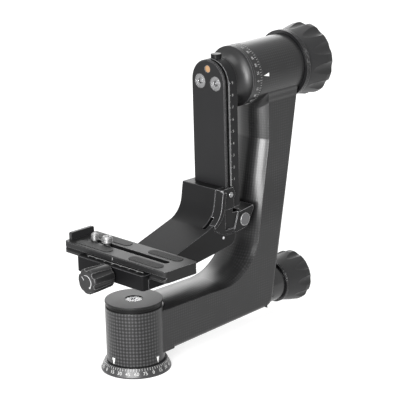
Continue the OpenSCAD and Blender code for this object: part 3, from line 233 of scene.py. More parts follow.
edge_glint = calc(tree, "MULTIPLY", edge_glint, sticks_out)
tree.links.new(calc(tree, "MINIMUM", edge_glint, 1.0), result["Edge"])
tree.links.new(rounded, result["Normal"])

# Fine rings that a lathe leaves, round an axis through a given centre
RIPPLE_SHARE = 0.3
CHANGE_PER_RING = 0.6
lathe_group, given, result = node_group(
    "lathe_rings",
    {"Point": Vector((0, 0, 0)), "Centre": Vector((0, 0, 0)), "Axis": Vector((0, 0, 1)),
     "Pitch": 0.3 * MM},
    {"Height": "Float"})
tree = lathe_group
arm = put(tree, "VectorMath", {0: given["Point"], 1: given["Centre"]},
          operation="SUBTRACT").outputs[0]
along = put(tree, "VectorMath", {0: arm, 1: given["Axis"]},
            operation="DOT_PRODUCT").outputs["Value"]
foot = put(tree, "VectorMath", {0: given["Axis"], "Scale": along}, operation="SCALE").outputs[0]
radius = put(tree, "VectorMath", {0: arm, 1: foot}, operation="DISTANCE").outputs["Value"]
path = calc(tree, "DIVIDE", calc(tree, "ADD", radius, along), given["Pitch"])
uneven = put(tree, "TexNoise", {"W": calc(tree, "MULTIPLY", path, CHANGE_PER_RING), "Scale": 1.0,
                                "Detail": 2.0}, noise_dimensions="1D").outputs[0]
ripple = calc(tree, "MULTIPLY", calc(tree, "SINE", calc(tree, "MULTIPLY", path, math.tau)),
              RIPPLE_SHARE)
tree.links.new(calc(tree, "ADD", ripple, uneven), result["Height"])

# Colour of the painted highlight on the edges of black finishes
GLINT_ON_BLACK = (0.16, 0.16, 0.165)
PAN_AXIS = (Vector((0, 0, 0)), Vector((0, 0, 1)))


def finish(name, color, roughness, grain=0.3 * MM, contrast=0.2, depth=0.01 * MM, edge=0.4 * MM,
           glint_share=0.4, glint_color=GLINT_ON_BLACK, metallic=0.0, specular=0.2, lathe=None, pair=False):
    """A finish with a grain of that size, change of tone and depth, and with edges broken by a
    radius and given a painted highlight in a paler colour. Where lathe gives centre, axis, pitch
    and share, it has turned rings, and a pair has them also round the centre's mirror image across
    Y."""
    made = bpy.data.materials.new(name)
    made.use_nodes = True
    tree = made.node_tree
    shader = tree.nodes["Principled BSDF"]
    skin = use(tree, grain_group, Color=(*color, 1), Size=grain, Contrast=contrast,
               Roughness=roughness, Gloss_Change=0.12)
    rim = use(tree, edge_group, Radius=edge, Wear=glint_share)
    mixed = put(tree, "MixRGB", {"Fac": rim["Edge"], "Color1": skin["Color"],
                                 "Color2": (*glint_color, 1)})
    height = skin["Height"]
    if lathe:
        centre, axis, pitch, share = lathe
        point = put(tree, "TexCoord").outputs["Object"]
        if pair:
            point = put(tree, "VectorMath", {0: point}, operation="ABSOLUTE").outputs[0]
        rings = use(tree, lathe_group, Point=point, Centre=centre, Axis=axis, Pitch=pitch)
        height = calc(tree, "MULTIPLY_ADD", rings["Height"], share, height)
    bump = put(tree, "Bump", {"Strength": 1.0, "Distance": depth, "Height": height,
                              "Normal": rim["Normal"]})
    tree.links.new(mixed.outputs[0], shader.inputs["Base Color"])
    tree.links.new(skin["Roughness"], shader.inputs["Roughness"])
    tree.links.new(bump.outputs[0], shader.inputs["Normal"])
    shader.inputs["Metallic"].default_value = metallic
    shader.inputs["Specular IOR Level"].default_value = specular
    return made


def dress(material, *names):
    """Gives CAD nodes a finish."""
    for name in names:
        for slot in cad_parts[name].material_slots:
            slot.material = material


flange_black = finish("anodised_flange", (0.02, 0.02, 0.021), 0.3, depth=0.006 * MM, specular=0.5,
                      lathe=(*PAN_AXIS, 0.35 * MM, 0.8))
dress(flange_black, "base_flange")


def filling(name, color):
    """Paint rubbed into engraved marks."""
    return finish(name, color, 0.6, grain=0.15 * MM, contrast=0.15, depth=0.004 * MM,
                  edge=0.03 * MM, glint_share=0.0)


print_white = filling("white_filling", (0.78, 0.78, 0.77))
scale_white = filling("scale_filling", (0.42, 0.42, 0.415))
print_grey = filling("grey_filling", (0.34, 0.34, 0.34))

PROUD = 0.12 * MM
SUNK = 0.1 * MM
WELD = 0.002 * MM


def glyph(text):
    """Points and faces of a number at size 1, centred on 0, from the built-in font."""
    curve = bpy.data.curves.new("glyph", "FONT")
    curve.body = text
    curve.align_x = "CENTER"
    curve.align_y = "CENTER"
    curve.extrude = 0.5
    curve.resolution_u = 3
    shaped = add_to_scene("glyph", curve)
    bpy.context.view_layer.update()
    whole = shaped.evaluated_get(bpy.context.evaluated_depsgraph_get())
    mesh = bpy.data.meshes.new_from_object(whole)
    points = [v.co.copy() for v in mesh.vertices]
    faces = [tuple(p.vertices) for p in mesh.polygons]
    bpy.data.objects.remove(shaped)
    bpy.data.meshes.remove(mesh)
    return points, faces


def stroke(*corners):
    """Points and faces of a flat mark with those corners, one unit thick."""
    count = len(corners)
    points = [Vector((x, y, z)) for z in (-0.5, 0.5) for x, y in corners]
    sides = [(i, (i + 1) % count, count + (i + 1) % count, count + i) for i in range(count)]
    return points, [tuple(range(count - 1, -1, -1)), tuple(range(count, 2 * count))] + sides


def bar(width, height, y=0.0):
    """A straight mark: a rectangle whose middle is y above the origin."""
    return stroke((-width / 2, y - height / 2), (width / 2, y - height / 2),
                  (width / 2, y + height / 2), (-width / 2, y + height / 2))


def piece_of(name, bm, *materials):
    """Turns a finished bmesh into an object of the scene."""
    mesh = bpy.data.meshes.new(name)
    bm.to_mesh(mesh)
    bm.free()
    for material in materials:
        mesh.materials.append(material)
    return add_to_scene(name, mesh)


class Marks:
    """Collects the filled marks of one scale in a single thin mesh."""

    def __init__(self, name):
        self.name = name
        self.bm = bmesh.new()

    def add(self, shape, place, size=1.0, y=0.0, proud=PROUD):
        """Lays a shape on a surface: place takes distances across, up and out of the surface."""
        points, faces = shape
        made = [self.bm.verts.new(place(p.x * size, p.y * size + y, proud if p.z > 0 else -SUNK))
                for p in points]
        for face in faces:
            self.bm.faces.new([made[i] for i in face])

    def lay(self, body, paint=print_white):
        """Ends the mesh and fixes it to a body."""
        bmesh.ops.remove_doubles(self.bm, verts=self.bm.verts, dist=WELD)
        bmesh.ops.recalc_face_normals(self.bm, faces=self.bm.faces)
        piece = piece_of(self.name, self.bm, paint)
        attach(piece, body)


TICK_STEP = 5
NUMBER_STEP = 15
QUADRANT = 90
digits = {n: glyph(str(n)) for n in (*range(10), *range(15, 90, 15))}


def round_scale(marks, place_at, start, tick_width, long_tick, short_tick, tick_edge,
                number_size, number_y):
    """Ticks that hang from one edge, and numbers that start again at each quarter turn."""
    for step in range(0, 360, TICK_STEP):
        length = long_tick if step % NUMBER_STEP == 0 else short_tick
        marks.add(bar(tick_width, length, y=tick_edge - length / 2), place_at(start + step))
    for step in range(0, 360, NUMBER_STEP):
        marks.add(digits[step % QUADRANT], place_at(start + step), size=number_size, y=number_y)


flange_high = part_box("base_flange")[1]
CONE_FOOT = Vector((flange_high.x, 1.2 * MM))
CONE_TOP = Vector((26.6 * MM, flange_high.z))
down = (CONE_FOOT - CONE_TOP).normalized()
outward = Vector((-down.y, down.x))


def on_cone(angle):
    """Places a mark on the flange's sloping edge, at an angle round the pan axis in degrees."""
    def place(x, y, z):
        spot = CONE_TOP - down * y + outward * z
        turn = math.radians(angle) + x / CONE_TOP.x
        return (spot.x * math.cos(turn), spot.x * math.sin(turn), spot.y)
    return place


pan_scale = Marks("pan_scale_marks")
round_scale(pan_scale, on_cone, start=-102, tick_width=0.28 * MM, long_tick=2.7 * MM,
            short_tick=2.0 * MM, tick_edge=-0.35 * MM, number_size=4.0 * MM, number_y=-4.9 * MM)
pan_scale.lay("base", scale_white)

# ---------------------------------------------------------------- pan shaft and bearings
# Ground steel shaft on the flange, two ball races pressed on it, and a sintered bronze sleeve for
# the brake. All of it lies inside the arm's boss, and only the top screw shows.
# Colour of the painted highlight on the edges of steel parts
GLINT_ON_STEEL = (0.8, 0.8, 0.8)
steel = finish("machined_steel", (0.55, 0.55, 0.56), 0.28, contrast=0.1, depth=0.006 * MM,
               edge=0.2 * MM, glint_share=0.2, glint_color=GLINT_ON_STEEL, metallic=1.0, specular=0.5,
               lathe=(*PAN_AXIS, 0.3 * MM, 0.8))
dress(steel, "pan_shaft", "pan_inner_races", "pan_washer", "base_screws", "tripod_insert",
      "pan_balls", "pan_outer_races", "pan_retaining_ring")
bronze = finish("sintered_bronze", (0.45, 0.31, 0.14), 0.5, grain=0.2 * MM, contrast=0.4,
                depth=0.02 * MM, metallic=1.0, specular=0.5, glint_color=(0.6, 0.45, 0.25))
dress(bronze, "pan_brake_sleeve", "pan_brake_shoe", "tilt_brake_disc")

# ---------------------------------------------------------------- arm
# One hollow moulding of woven carbon fibre, from the boss round the elbow to the tilt tube, under
# a satin clear lacquer. The plain weave shows as small squares, strong on the boss and faint on
# the rest. White triangles on boss and tube point at the scales.
BOSS_R = 24.85 * MM
TUBE_R = 26.7 * MM
SKIN_GAP = 0.15 * MM
TILT_Z = 231.2 * MM
TUBE_X = 134.3 * MM
ARM_HALF = 22.0 * MM
SIDE_FACING = 0.72
BOSS_TOW = 2.85 * MM
BOSS_TOW_UP = 3.0 * MM
SHELL_TOW = 2.4 * MM
TOW_WANDER = 0.8 * MM
WANDERS_PER_METRE = 240.0
PATCHY_PER_METRE = 70.0
WEAVE_SHARPNESS = 2.6
WEAVE_RELIEF = 0.07 * MM
GRAIN_SHARE = 0.15
FINE_WEAVE = 0.34
FINE_PATCHES = (0.3, 0.6)
LEG_ROOT = (9 * MM, -2 * MM)
UPRIGHT_START = (95 * MM, 145 * MM)
BELOW_TUBE = (27 * MM, 33 * MM)
EDGE_FALL = 4.5 * MM
BETWEEN_TOWS = (0.003, 0.003, 0.003, 1)
ON_TOWS = (0.052, 0.052, 0.0535, 1)
PLAIN_CARBON = (0.01, 0.01, 0.0103, 1)
GLINT_ON_CARBON = (0.12, 0.12, 0.122, 1)
carbon = bpy.data.materials.new("woven_carbon")
carbon.use_nodes = True
tree = carbon.node_tree
shader = tree.nodes["Principled BSDF"]
own = put(tree, "TexCoord").outputs
spot = put(tree, "SeparateXYZ", {0: own["Object"]}).outputs
facing = put(tree, "SeparateXYZ", {0: own["Normal"]}).outputs


def choose(tree, mask, yes, no):
    """The first value where the mask is 1, and the second where it is 0."""
    return put(tree, "Mix", {0: mask, 2: no, 3: yes}).outputs[0]


def length_of(tree, a, b):
    """The length of a line that goes a one way and b across it."""
    return calc(tree, "SQRT", calc(tree, "ADD", calc(tree, "MULTIPLY", a, a),
                                   calc(tree, "MULTIPLY", b, b)))


def fade(tree, value, none, full):
    """0 at one value, 1 at the other, and a smooth change between them."""
    return put(tree, "MapRange", {"Value": value, "From Min": none, "From Max": full},
               interpolation_type="SMOOTHSTEP").outputs[0]


def ridge(tree, value, tow):
    """0 between two tows and 1 on the middle of a tow."""
    wave = calc(tree, "SINE", calc(tree, "MULTIPLY", calc(tree, "DIVIDE", value, tow), math.tau))
    return calc(tree, "MULTIPLY_ADD", wave, 0.5, 0.5)


# Where a point lies: on the round boss, on the round tube, or on a flat side of the shell
above = calc(tree, "SUBTRACT", spot["Z"], TILT_Z)
from_pan_axis = length_of(tree, spot["X"], spot["Y"])
from_tilt_axis = length_of(tree, spot["Y"], above)
on_boss = calc(tree, "LESS_THAN", from_pan_axis, BOSS_R + SKIN_GAP)
on_tube = calc(tree, "MULTIPLY", calc(tree, "LESS_THAN", from_tilt_axis, TUBE_R + SKIN_GAP),
               calc(tree, "GREATER_THAN", spot["X"], TUBE_X))
on_side = calc(tree, "GREATER_THAN", calc(tree, "ABSOLUTE", facing["Y"]), SIDE_FACING)
upright_face = calc(tree, "GREATER_THAN", calc(tree, "ABSOLUTE", facing["X"]),
                    calc(tree, "ABSOLUTE", facing["Z"]))
# The cloth's two directions there
across = choose(tree, on_side, spot["X"], spot["Y"])
up = choose(tree, on_side, spot["Z"], choose(tree, upright_face, spot["Z"], spot["X"]))
round_tube = calc(tree, "MULTIPLY", calc(tree, "ARCTAN2", above, spot["Y"]), TUBE_R)
across = choose(tree, on_tube, round_tube, across)
up = choose(tree, on_tube, spot["X"], up)
round_boss = calc(tree, "MULTIPLY", calc(tree, "ARCTAN2", spot["Y"], spot["X"]), BOSS_R)
across = choose(tree, on_boss, round_boss, across)
up = choose(tree, on_boss, spot["Z"], up)
# The squares of the weave, strong on the boss up to the root of the leg
wobble = put(tree, "TexNoise", {"Vector": own["Object"], "Scale": WANDERS_PER_METRE,
                                "Detail": 2.0}).outputs[0]
shift = calc(tree, "MULTIPLY", calc(tree, "SUBTRACT", wobble, NOISE_MEAN), TOW_WANDER)
weft = ridge(tree, calc(tree, "ADD", across, shift), choose(tree, on_boss, BOSS_TOW, SHELL_TOW))
warp = ridge(tree, calc(tree, "SUBTRACT", up, shift),
             choose(tree, on_boss, BOSS_TOW_UP, SHELL_TOW))
weave = calc(tree, "MULTIPLY", calc(tree, "ADD", weft, warp), 0.5)
weave = calc(tree, "POWER", weave, WEAVE_SHARPNESS)
patches = put(tree, "TexNoise", {"Vector": own["Object"], "Scale": PATCHY_PER_METRE,
                                 "Detail": 1.0}).outputs[0]
open_weave = calc(tree, "MULTIPLY", on_boss, fade(tree, spot["X"], *LEG_ROOT))
fine_weave = calc(tree, "MULTIPLY", fade(tree, patches, *FINE_PATCHES), FINE_WEAVE)
strength = calc(tree, "MAXIMUM", open_weave, fine_weave)
woven = put(tree, "MixRGB", {"Fac": weave, "Color1": BETWEEN_TOWS, "Color2": ON_TOWS})
fibre = put(tree, "MixRGB", {"Fac": strength, "Color1": PLAIN_CARBON,
                             "Color2": woven.outputs[0]})
skin = use(tree, grain_group, Color=fibre.outputs[0], Size=0.5 * MM, Contrast=0.25, Roughness=0.3,
           Gloss_Change=0.1)
# A faint painted highlight along the shell's edges
rim = use(tree, edge_group, Radius=0.8 * MM, Wear=0.1)
lit = put(tree, "MixRGB", {"Fac": rim["Edge"], "Color1": skin["Color"], "Color2": GLINT_ON_CARBON})
# The inner side of the upright is rounder towards its edges than in its middle
rounder = calc(tree, "MULTIPLY", fade(tree, spot["Z"], *UPRIGHT_START),
               fade(tree, from_tilt_axis, *BELOW_TUBE))
fall = calc(tree, "MULTIPLY", calc(tree, "MULTIPLY", spot["Y"], spot["Y"]),
            -EDGE_FALL / ARM_HALF ** 2)
form = put(tree, "Bump", {"Strength": 1.0, "Distance": 1.0, "Normal": rim["Normal"],
                          "Height": calc(tree, "MULTIPLY", fall, rounder)}).outputs[0]
relief = calc(tree, "MULTIPLY_ADD", skin["Height"], GRAIN_SHARE,
              calc(tree, "MULTIPLY", weave, strength))
bump = put(tree, "Bump", {"Strength": 1.0, "Distance": WEAVE_RELIEF, "Height": relief,
                          "Normal": form})
tree.links.new(lit.outputs[0], shader.inputs["Base Color"])
tree.links.new(skin["Roughness"], shader.inputs["Roughness"])
tree.links.new(bump.outputs[0], shader.inputs["Normal"])
shader.inputs["Specular IOR Level"].default_value = 0.36
dress(carbon, "arm_shell")


def on_boss_wall(angle, z0):
    """Places a mark on the boss, at an angle round the pan axis and a height."""
    def place(x, y, z):
        turn = math.radians(angle) + x / BOSS_R
        return ((BOSS_R + z) * math.cos(turn), (BOSS_R + z) * math.sin(turn), z0 + y)
    return place


def on_tilt_drum(angle, x0):
    """Places a mark on the tilt tube or its ring: up runs along the tube, across runs round it."""
    def place(x, y, z):
        turn = math.radians(angle) + x / TUBE_R
        return (x0 + y, (TUBE_R + z) * math.cos(turn), TILT_Z + (TUBE_R + z) * math.sin(turn))
    return place


def pointer(half_width, half_height):
    """A triangle that points down."""
    return stroke((0, -half_height), (half_width, half_height), (-half_width, half_height))


PAN_POINTER_ANGLES = (-84, 178.8)
PAN_POINTER_Z = 11.6 * MM
TILT_POINTER_ANGLE = 175.5
TILT_POINTER_X = 138.7 * MM
pan_pointers = Marks("pan_pointers")
for angle in PAN_POINTER_ANGLES:
    pan_pointers.add(pointer(1.6 * MM, 2.9 * MM), on_boss_wall(angle, PAN_POINTER_Z))
pan_pointers.lay("arm")
tilt_pointer = Marks("tilt_pointer")
tilt_pointer.add(pointer(1.65 * MM, 3.3 * MM), on_tilt_drum(TILT_POINTER_ANGLE, TILT_POINTER_X))
tilt_pointer.lay("arm")

# ---------------------------------------------------------------- pan cap
# Grey anodised cap that closes the boss, over a dark rubber ring, with the shaft's hex screw in
# the middle. The cap's side is painted near black as painted shade.
CAP_TOP_FACING = 0.8
CAP_SIDE_FACING = 0.3
cap_grey = finish("grey_cap", (0.035, 0.035, 0.036), 0.4, contrast=0.12, depth=0.006 * MM,
                  glint_share=0.5, glint_color=(0.3, 0.3, 0.3), specular=0.24,
                  lathe=(*PAN_AXIS, 0.25 * MM, 0.5))
tree = cap_grey.node_tree
cap_color = tree.nodes["Principled BSDF"].inputs["Base Color"]
# Painted shade: where the cap faces sideways its colour goes near black
facing_up = put(tree, "SeparateXYZ", {0: put(tree, "TexCoord").outputs["Normal"]}).outputs["Z"]
side_shade = put(tree, "MixRGB", {"Fac": fade(tree, facing_up, CAP_TOP_FACING, CAP_SIDE_FACING),
                                 "Color1": cap_color.links[0].from_socket,
                                 "Color2": (0.003, 0.003, 0.003, 1)})
tree.links.new(side_shade.outputs[0], cap_color)
dress(cap_grey, "pan_cap")
# The screw head's edges carry a bright painted highlight
cap_screw = finish("turned_cap_screw", (0.55, 0.55, 0.555), 0.26, contrast=0.15, depth=0.3 * MM,
                   edge=0.5 * MM, glint_share=0.6, glint_color=(0.9, 0.9, 0.9), metallic=1.0, specular=0.5,
                   lathe=(*PAN_AXIS, 1.5 * MM, 1.0))
dress(cap_screw, "pan_screw")
rubber = finish("black_rubber", (0.004, 0.004, 0.004), 0.3, grain=0.2 * MM, contrast=0.3,
                depth=0.008 * MM, glint_share=0.0, specular=0.12)
dress(rubber, "cap_ring")

# ---------------------------------------------------------------- lock knobs
# Lobed knobs moulded in black rubberised plastic, each on a turned ring, with a screw in the
# middle. The tilt knob clamps the tube's shaft and the pan knob presses a rod against the pan
# shaft. Their spindles and the tilt shaft with its races are plain steel, out of sight.
TILT_AXIS = (Vector((0, 0, TILT_Z)), Vector((1, 0, 0)))
grip = finish("rubberised_black", (0.012, 0.012, 0.0125), 0.4, grain=0.35 * MM, contrast=0.3,
              depth=0.02 * MM, edge=0.9 * MM, glint_share=0.25, glint_color=(0.09, 0.09, 0.09),
              specular=0.3)
dress(grip, "pan_knob", "tilt_knob", "bracket_knob")
ring_black = finish("turned_black", (0.008, 0.008, 0.0085), 0.2, depth=0.005 * MM, edge=0.3 * MM,
                    glint_share=0.0, specular=0.5, lathe=(*TILT_AXIS, 0.3 * MM, 0.6))
dress(ring_black, "pan_knob_ring", "tilt_knob_ring", "pan_lock_collar")
dress(steel, "pan_spindle", "pan_knob_screw", "pan_brake_rod", "tilt_spindle", "tilt_knob_screw",
      "tilt_outer_races", "tilt_retaining_rings", "tilt_balls", "tilt_shaft", "tilt_inner_races",
      "brake_flange", "tilt_bolt")

# ---------------------------------------------------------------- swing rail and hub
# Milled aluminium rail with a dovetail groove down each side, bolted to a turned hub by two large
# screws, with a brass plug between them. Rail and hub are blasted and anodised black.
# The rail's edges carry a painted highlight
blasted = finish("blasted_black", (0.009, 0.009, 0.0095), 0.4, grain=0.25 * MM, contrast=0.25,
                 depth=0.012 * MM, edge=0.8 * MM, glint_share=1.0, glint_color=(0.3, 0.3, 0.305),
                 specular=0.13)
dress(blasted, "swing_rail", "tilt_spacer")
hub_black = finish("turned_hub", (0.005, 0.005, 0.0053), 0.4, depth=0.008 * MM, edge=0.5 * MM,
                   glint_share=0.6, specular=0.45, lathe=(*TILT_AXIS, 0.4 * MM, 0.6))
dress(hub_black, "tilt_hub", "scale_ring")
SCREW_Y = 9.2 * MM
bright = finish("turned_screws", (0.26, 0.26, 0.265), 0.26, contrast=0.15, depth=0.15 * MM,
                edge=0.4 * MM, glint_share=0.4, glint_color=GLINT_ON_STEEL, metallic=1.0, specular=0.5,
                lathe=(Vector((0, SCREW_Y, TILT_Z)), Vector((1, 0, 0)), 0.8 * MM, 1.0), pair=True)
dress(bright, "rail_screws")
copper = finish("satin_copper", (0.46, 0.28, 0.15), 0.45, contrast=0.2, depth=0.008 * MM,
                metallic=1.0, specular=0.5, glint_color=(0.9, 0.6, 0.4))
dress(copper, "brass_plug")

# ---------------------------------------------------------------- top button and its spring
# Black button in the rail's head, pushed up by a small coil of steel wire that stands in its bore.
# The coil is wound here.
WIRE_R = 0.35 * MM
WIRE_SIDES = 10
COIL_TURNS = 4
COIL_STEPS = 24
gloss_black = finish("gloss_black", (0.006, 0.006, 0.0063), 0.3, contrast=0.1, depth=0.004 * MM,
                     glint_share=0.4, specular=0.1)
dress(gloss_black, "top_button")


def close_skin(bm, rings):
    """Joins each ring of points to the next, fills both ends and gives back the last end."""
    for a, b in zip(rings, rings[1:]):
        for i in range(len(a)):
            j = (i + 1) % len(a)
            bm.faces.new((a[i], a[j], b[j], b[i]))
    bm.faces.new(list(reversed(rings[0])))
    return bm.faces.new(rings[-1])


coil_low, coil_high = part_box("button_spring")
coil_middle = (coil_low + coil_high) / 2
coil_height = coil_high.z - coil_low.z
coil_r = (coil_high.x - coil_low.x) / 2 - WIRE_R
climb = coil_height - 2 * WIRE_R
coil_rings = COIL_TURNS * COIL_STEPS
bm = bmesh.new()
rings = []
for i in range(coil_rings + 1):
    turn = math.tau * i / COIL_STEPS
    ring = []
    for k in range(WIRE_SIDES):
        side = math.tau * k / WIRE_SIDES
        r = coil_r + WIRE_R * math.cos(side)
        z = coil_low.z + WIRE_R + climb * i / coil_rings + WIRE_R * math.sin(side)
        ring.append(bm.verts.new((coil_middle.x + r * math.cos(turn),
                                  coil_middle.y + r * math.sin(turn), z)))
    rings.append(ring)
close_skin(bm, rings)
bmesh.ops.recalc_face_normals(bm, faces=bm.faces)
coil = piece_of("return_spring", bm, steel)
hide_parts("button_spring")
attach(coil, "cradle")
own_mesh(coil)

# ---------------------------------------------------------------- scales of hub and rail
# The tilt scale runs round the hub's ring. A line with the numbers 1 to 9 runs down the rail's
# flat side. All are engraved and filled with grey, those on the rail nearly flush.
RING_X = 124.9 * MM
tilt_scale = Marks("tilt_scale_marks")
round_scale(tilt_scale, lambda angle: on_tilt_drum(angle, RING_X), start=183, tick_width=0.3 * MM,
            long_tick=2.2 * MM, short_tick=1.4 * MM, tick_edge=8.3 * MM, number_size=3.2 * MM,
            number_y=3.6 * MM)
tilt_scale.lay("cradle", print_grey)

rail_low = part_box("swing_rail")[0]
FLUSH = 0.02 * MM
LINE_X = 100.3 * MM
LINE_WIDTH = 0.32 * MM
LINE_LENGTH = 92.5 * MM
LINE_Z = 187.2 * MM
NUMBER_PITCH = 10.6 * MM
NINE_Z = 231.7 * MM
NUMBER_OFFSET = 3.7 * MM
LONG_OFFSET = 0.8 * MM
SHORT_OFFSET = 0.5 * MM


def on_rail_side(x0, z0):
    """Places a mark on the rail's flat side that faces the open side of the head."""
    def place(x, y, z):
        return (x0 + x, rail_low.y - z, z0 + y)
    return place


rail_line = Marks("rail_line")
rail_line.add(bar(LINE_WIDTH, LINE_LENGTH), on_rail_side(LINE_X, LINE_Z), proud=FLUSH)
rail_line.lay("cradle", print_grey)
rail_scale = Marks("rail_scale_marks")
for number in range(1, 10):
    height = NINE_Z - (9 - number) * NUMBER_PITCH
    rail_scale.add(digits[number], on_rail_side(LINE_X + NUMBER_OFFSET, height), size=3.3 * MM,
                   proud=FLUSH)
    rail_scale.add(bar(1.2 * MM, LINE_WIDTH), on_rail_side(LINE_X + LONG_OFFSET, height),
                   proud=FLUSH)
    rail_scale.add(bar(0.6 * MM, 0.3 * MM),
                   on_rail_side(LINE_X + SHORT_OFFSET, height - NUMBER_PITCH / 2), proud=FLUSH)
rail_scale.lay("cradle", print_grey)

# ---------------------------------------------------------------- bracket and its jaw
# Milled L-shaped bracket that runs on the rail, with a loose jaw drawn in by a cross bolt and a
# small knob. Blasted and anodised like the rail; the bolt and the adjusting screw are dull steel,
# and the spring pin is bright.
bracket_black = finish("bracket_black", (0.005, 0.005, 0.0053), 0.36, grain=0.25 * MM,
                       contrast=0.25, depth=0.012 * MM, edge=1.3 * MM, glint_share=0.5,
                       glint_color=(0.14, 0.14, 0.145), specular=0.13)
dress(bracket_black, "l_bracket")
# The jaw's edges carry a strong painted highlight, a pale line along each
jaw_black = finish("jaw_black", (0.006, 0.006, 0.0063), 0.36, grain=0.25 * MM, contrast=0.25,
                   depth=0.012 * MM, edge=0.6 * MM, glint_share=1.1, glint_color=(0.5, 0.5, 0.51),
                   specular=0.15)
dress(jaw_black, "bracket_jaw")
dress(steel, "clamp_screws", "spring_pin", "clamp_guide_pins", "clamp_stud", "quarter_washer",
      "three_eighths_washer")
bolt_axis = (Vector((113.2 * MM, 0, 109 * MM)), Vector((0, 1, 0)))
# A painted highlight rings the rims of the bolt and the adjusting screw
bolt_steel = finish("bolt_steel", (0.12, 0.12, 0.123), 0.36, contrast=0.15, depth=0.02 * MM,
                    edge=0.9 * MM, glint_share=0.9, glint_color=GLINT_ON_STEEL, metallic=1.0, specular=0.5,
                    lathe=(*bolt_axis, 0.7 * MM, 1.0))
dress(bolt_steel, "jaw_adjust_screw", "bracket_bolt")

# ---------------------------------------------------------------- plate clamp
# Clamp body on the bracket's tongue, with a moving jaw on two guide pins and a seven-lobed knob.
# The jaw's top carries a grey line with a mark every 10 mm, and the knob's flat face an arrow that
# shows which way it turns.
clamp_black = finish("clamp_black", (0.004, 0.004, 0.0043), 0.38, grain=0.25 * MM, contrast=0.25,
                     depth=0.012 * MM, edge=0.9 * MM, glint_share=0.6, specular=0.06)
dress(clamp_black, "clamp_body", "clamp_jaw")
jaw_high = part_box("clamp_jaw")[1]
JAW_LINE_X = -19.6 * MM
JAW_LINE_WIDTH = 0.25 * MM
JAW_LINE_LENGTH = 70 * MM
JAW_STEP = 10 * MM
JAW_SHIFT = 1.3 * MM
MIDDLE_MARK = (3.0 * MM, 0.9 * MM)
SIDE_MARK = (2.4 * MM, 0.4 * MM)


def on_jaw_top(x0, y0):
    """Places a mark on the clamp jaw's top, across away from the plate."""
    def place(x, y, z):
        return (x0 - x, y0 + y, jaw_high.z + z)
    return place


jaw_scale = Marks("clamp_jaw_marks")
jaw_scale.add(bar(JAW_LINE_WIDTH, JAW_LINE_LENGTH), on_jaw_top(JAW_LINE_X, 0))
for step in range(-3, 4):
    length, width = MIDDLE_MARK if step == 0 else SIDE_MARK
    jaw_scale.add(bar(length, width),
                  on_jaw_top(JAW_LINE_X - length / 2, step * JAW_STEP + JAW_SHIFT))
jaw_scale.lay("clamp_jaw", print_grey)

# The knob's lobe edges carry a strong painted highlight that stands for glints
clamp_grip = finish("clamp_knob_black", (0.01, 0.01, 0.0103), 0.3, grain=0.35 * MM, contrast=0.3,
                    depth=0.01 * MM, edge=0.8 * MM, glint_share=0.9, glint_color=(0.35, 0.35, 0.35),
                    specular=0.26)
dress(clamp_grip, "clamp_knob")
knob_low, knob_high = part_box("clamp_knob")
KNOB_Z = (knob_low.z + knob_high.z) / 2
FACE_R = 7.6 * MM
FACE_SIDES = 64
ARC_R = 5.8 * MM
ARC_HALF = 0.375 * MM
ARC_START = 118
ARC_END = -40
ARC_STEPS = 24
ARC_THIN = 0.25
ARC_SWELL = 2.2
TIP_AHEAD = 18
TIP_HALF = 1.2 * MM
ARROW_PROUD = 0.045 * MM


def on_knob_face(x, y, z):
    """Places a mark on the clamp knob's flat front, seen with the knob's axis at the viewer."""
    return (knob_low.x - z, -x, KNOB_Z + y)


def polar(radius, angle):
    """A point at a distance from the knob's middle and an angle in radians."""
    return (radius * math.cos(angle), radius * math.sin(angle))


def arc_half(share):
    """Half the width of the arrow's arc, which swells from a thin start."""
    return ARC_HALF * min(1.0, ARC_THIN + ARC_SWELL * share)


# The knob's flat face is a thin disc painted a little lighter than the knob, a painted reflection
face_sheen = finish("clamp_knob_face", (0.014, 0.014, 0.0145), 0.45, grain=0.3 * MM,
                      contrast=0.3, depth=0.01 * MM, edge=0.2 * MM, glint_share=0.2)
disc = Marks("clamp_knob_face")
disc.add(stroke(*(polar(FACE_R, math.tau * i / FACE_SIDES) for i in range(FACE_SIDES))),
         on_knob_face, proud=FLUSH)
disc.lay("clamp_knob", face_sheen)
# A short bar at the arrow's start, then its arc in steps, then its tip
arrow = Marks("clamp_knob_arrow")
arrow.add(stroke((-5.6 * MM, 3.5 * MM), (-3.1 * MM, 0.8 * MM), (-2.7 * MM, 1.3 * MM),
                 (-5.2 * MM, 4.0 * MM)), on_knob_face, proud=ARROW_PROUD)
for i in range(ARC_STEPS):
    a = math.radians(ARC_START + (ARC_END - ARC_START) * i / ARC_STEPS)
    b = math.radians(ARC_START + (ARC_END - ARC_START) * (i + 1) / ARC_STEPS)
    w0 = arc_half(i / ARC_STEPS)
    w1 = arc_half((i + 1) / ARC_STEPS)
    arrow.add(stroke(polar(ARC_R - w0, a), polar(ARC_R - w1, b), polar(ARC_R + w1, b),
                     polar(ARC_R + w0, a)), on_knob_face, proud=ARROW_PROUD)
tail = math.radians(ARC_END)
tip = math.radians(ARC_END - TIP_AHEAD)
arrow.add(stroke(polar(ARC_R, tip), polar(ARC_R + TIP_HALF, tail), polar(ARC_R - TIP_HALF, tail)),
          on_knob_face, proud=ARROW_PROUD)
arrow.lay("clamp_knob", print_grey)

# ---------------------------------------------------------------- lens plate
# Extruded and milled aluminium plate, anodised dark grey, with a long slot for the camera screws
# and a black stop lip at its far end. Four oval rubber pads are let into its top, the near pair
# rough and the far pair smooth. They are moulded here with a broken upper edge.
# The plate's edges, the slot's too, carry a painted highlight
plate_grey = finish("plate_grey", (0.009, 0.009, 0.0093), 0.4, contrast=0.14, edge=0.6 * MM,
                    glint_share=0.9, glint_color=(0.3, 0.3, 0.3), specular=0.17)
dress(plate_grey, "lens_plate")
plate_low, plate_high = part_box("lens_plate")


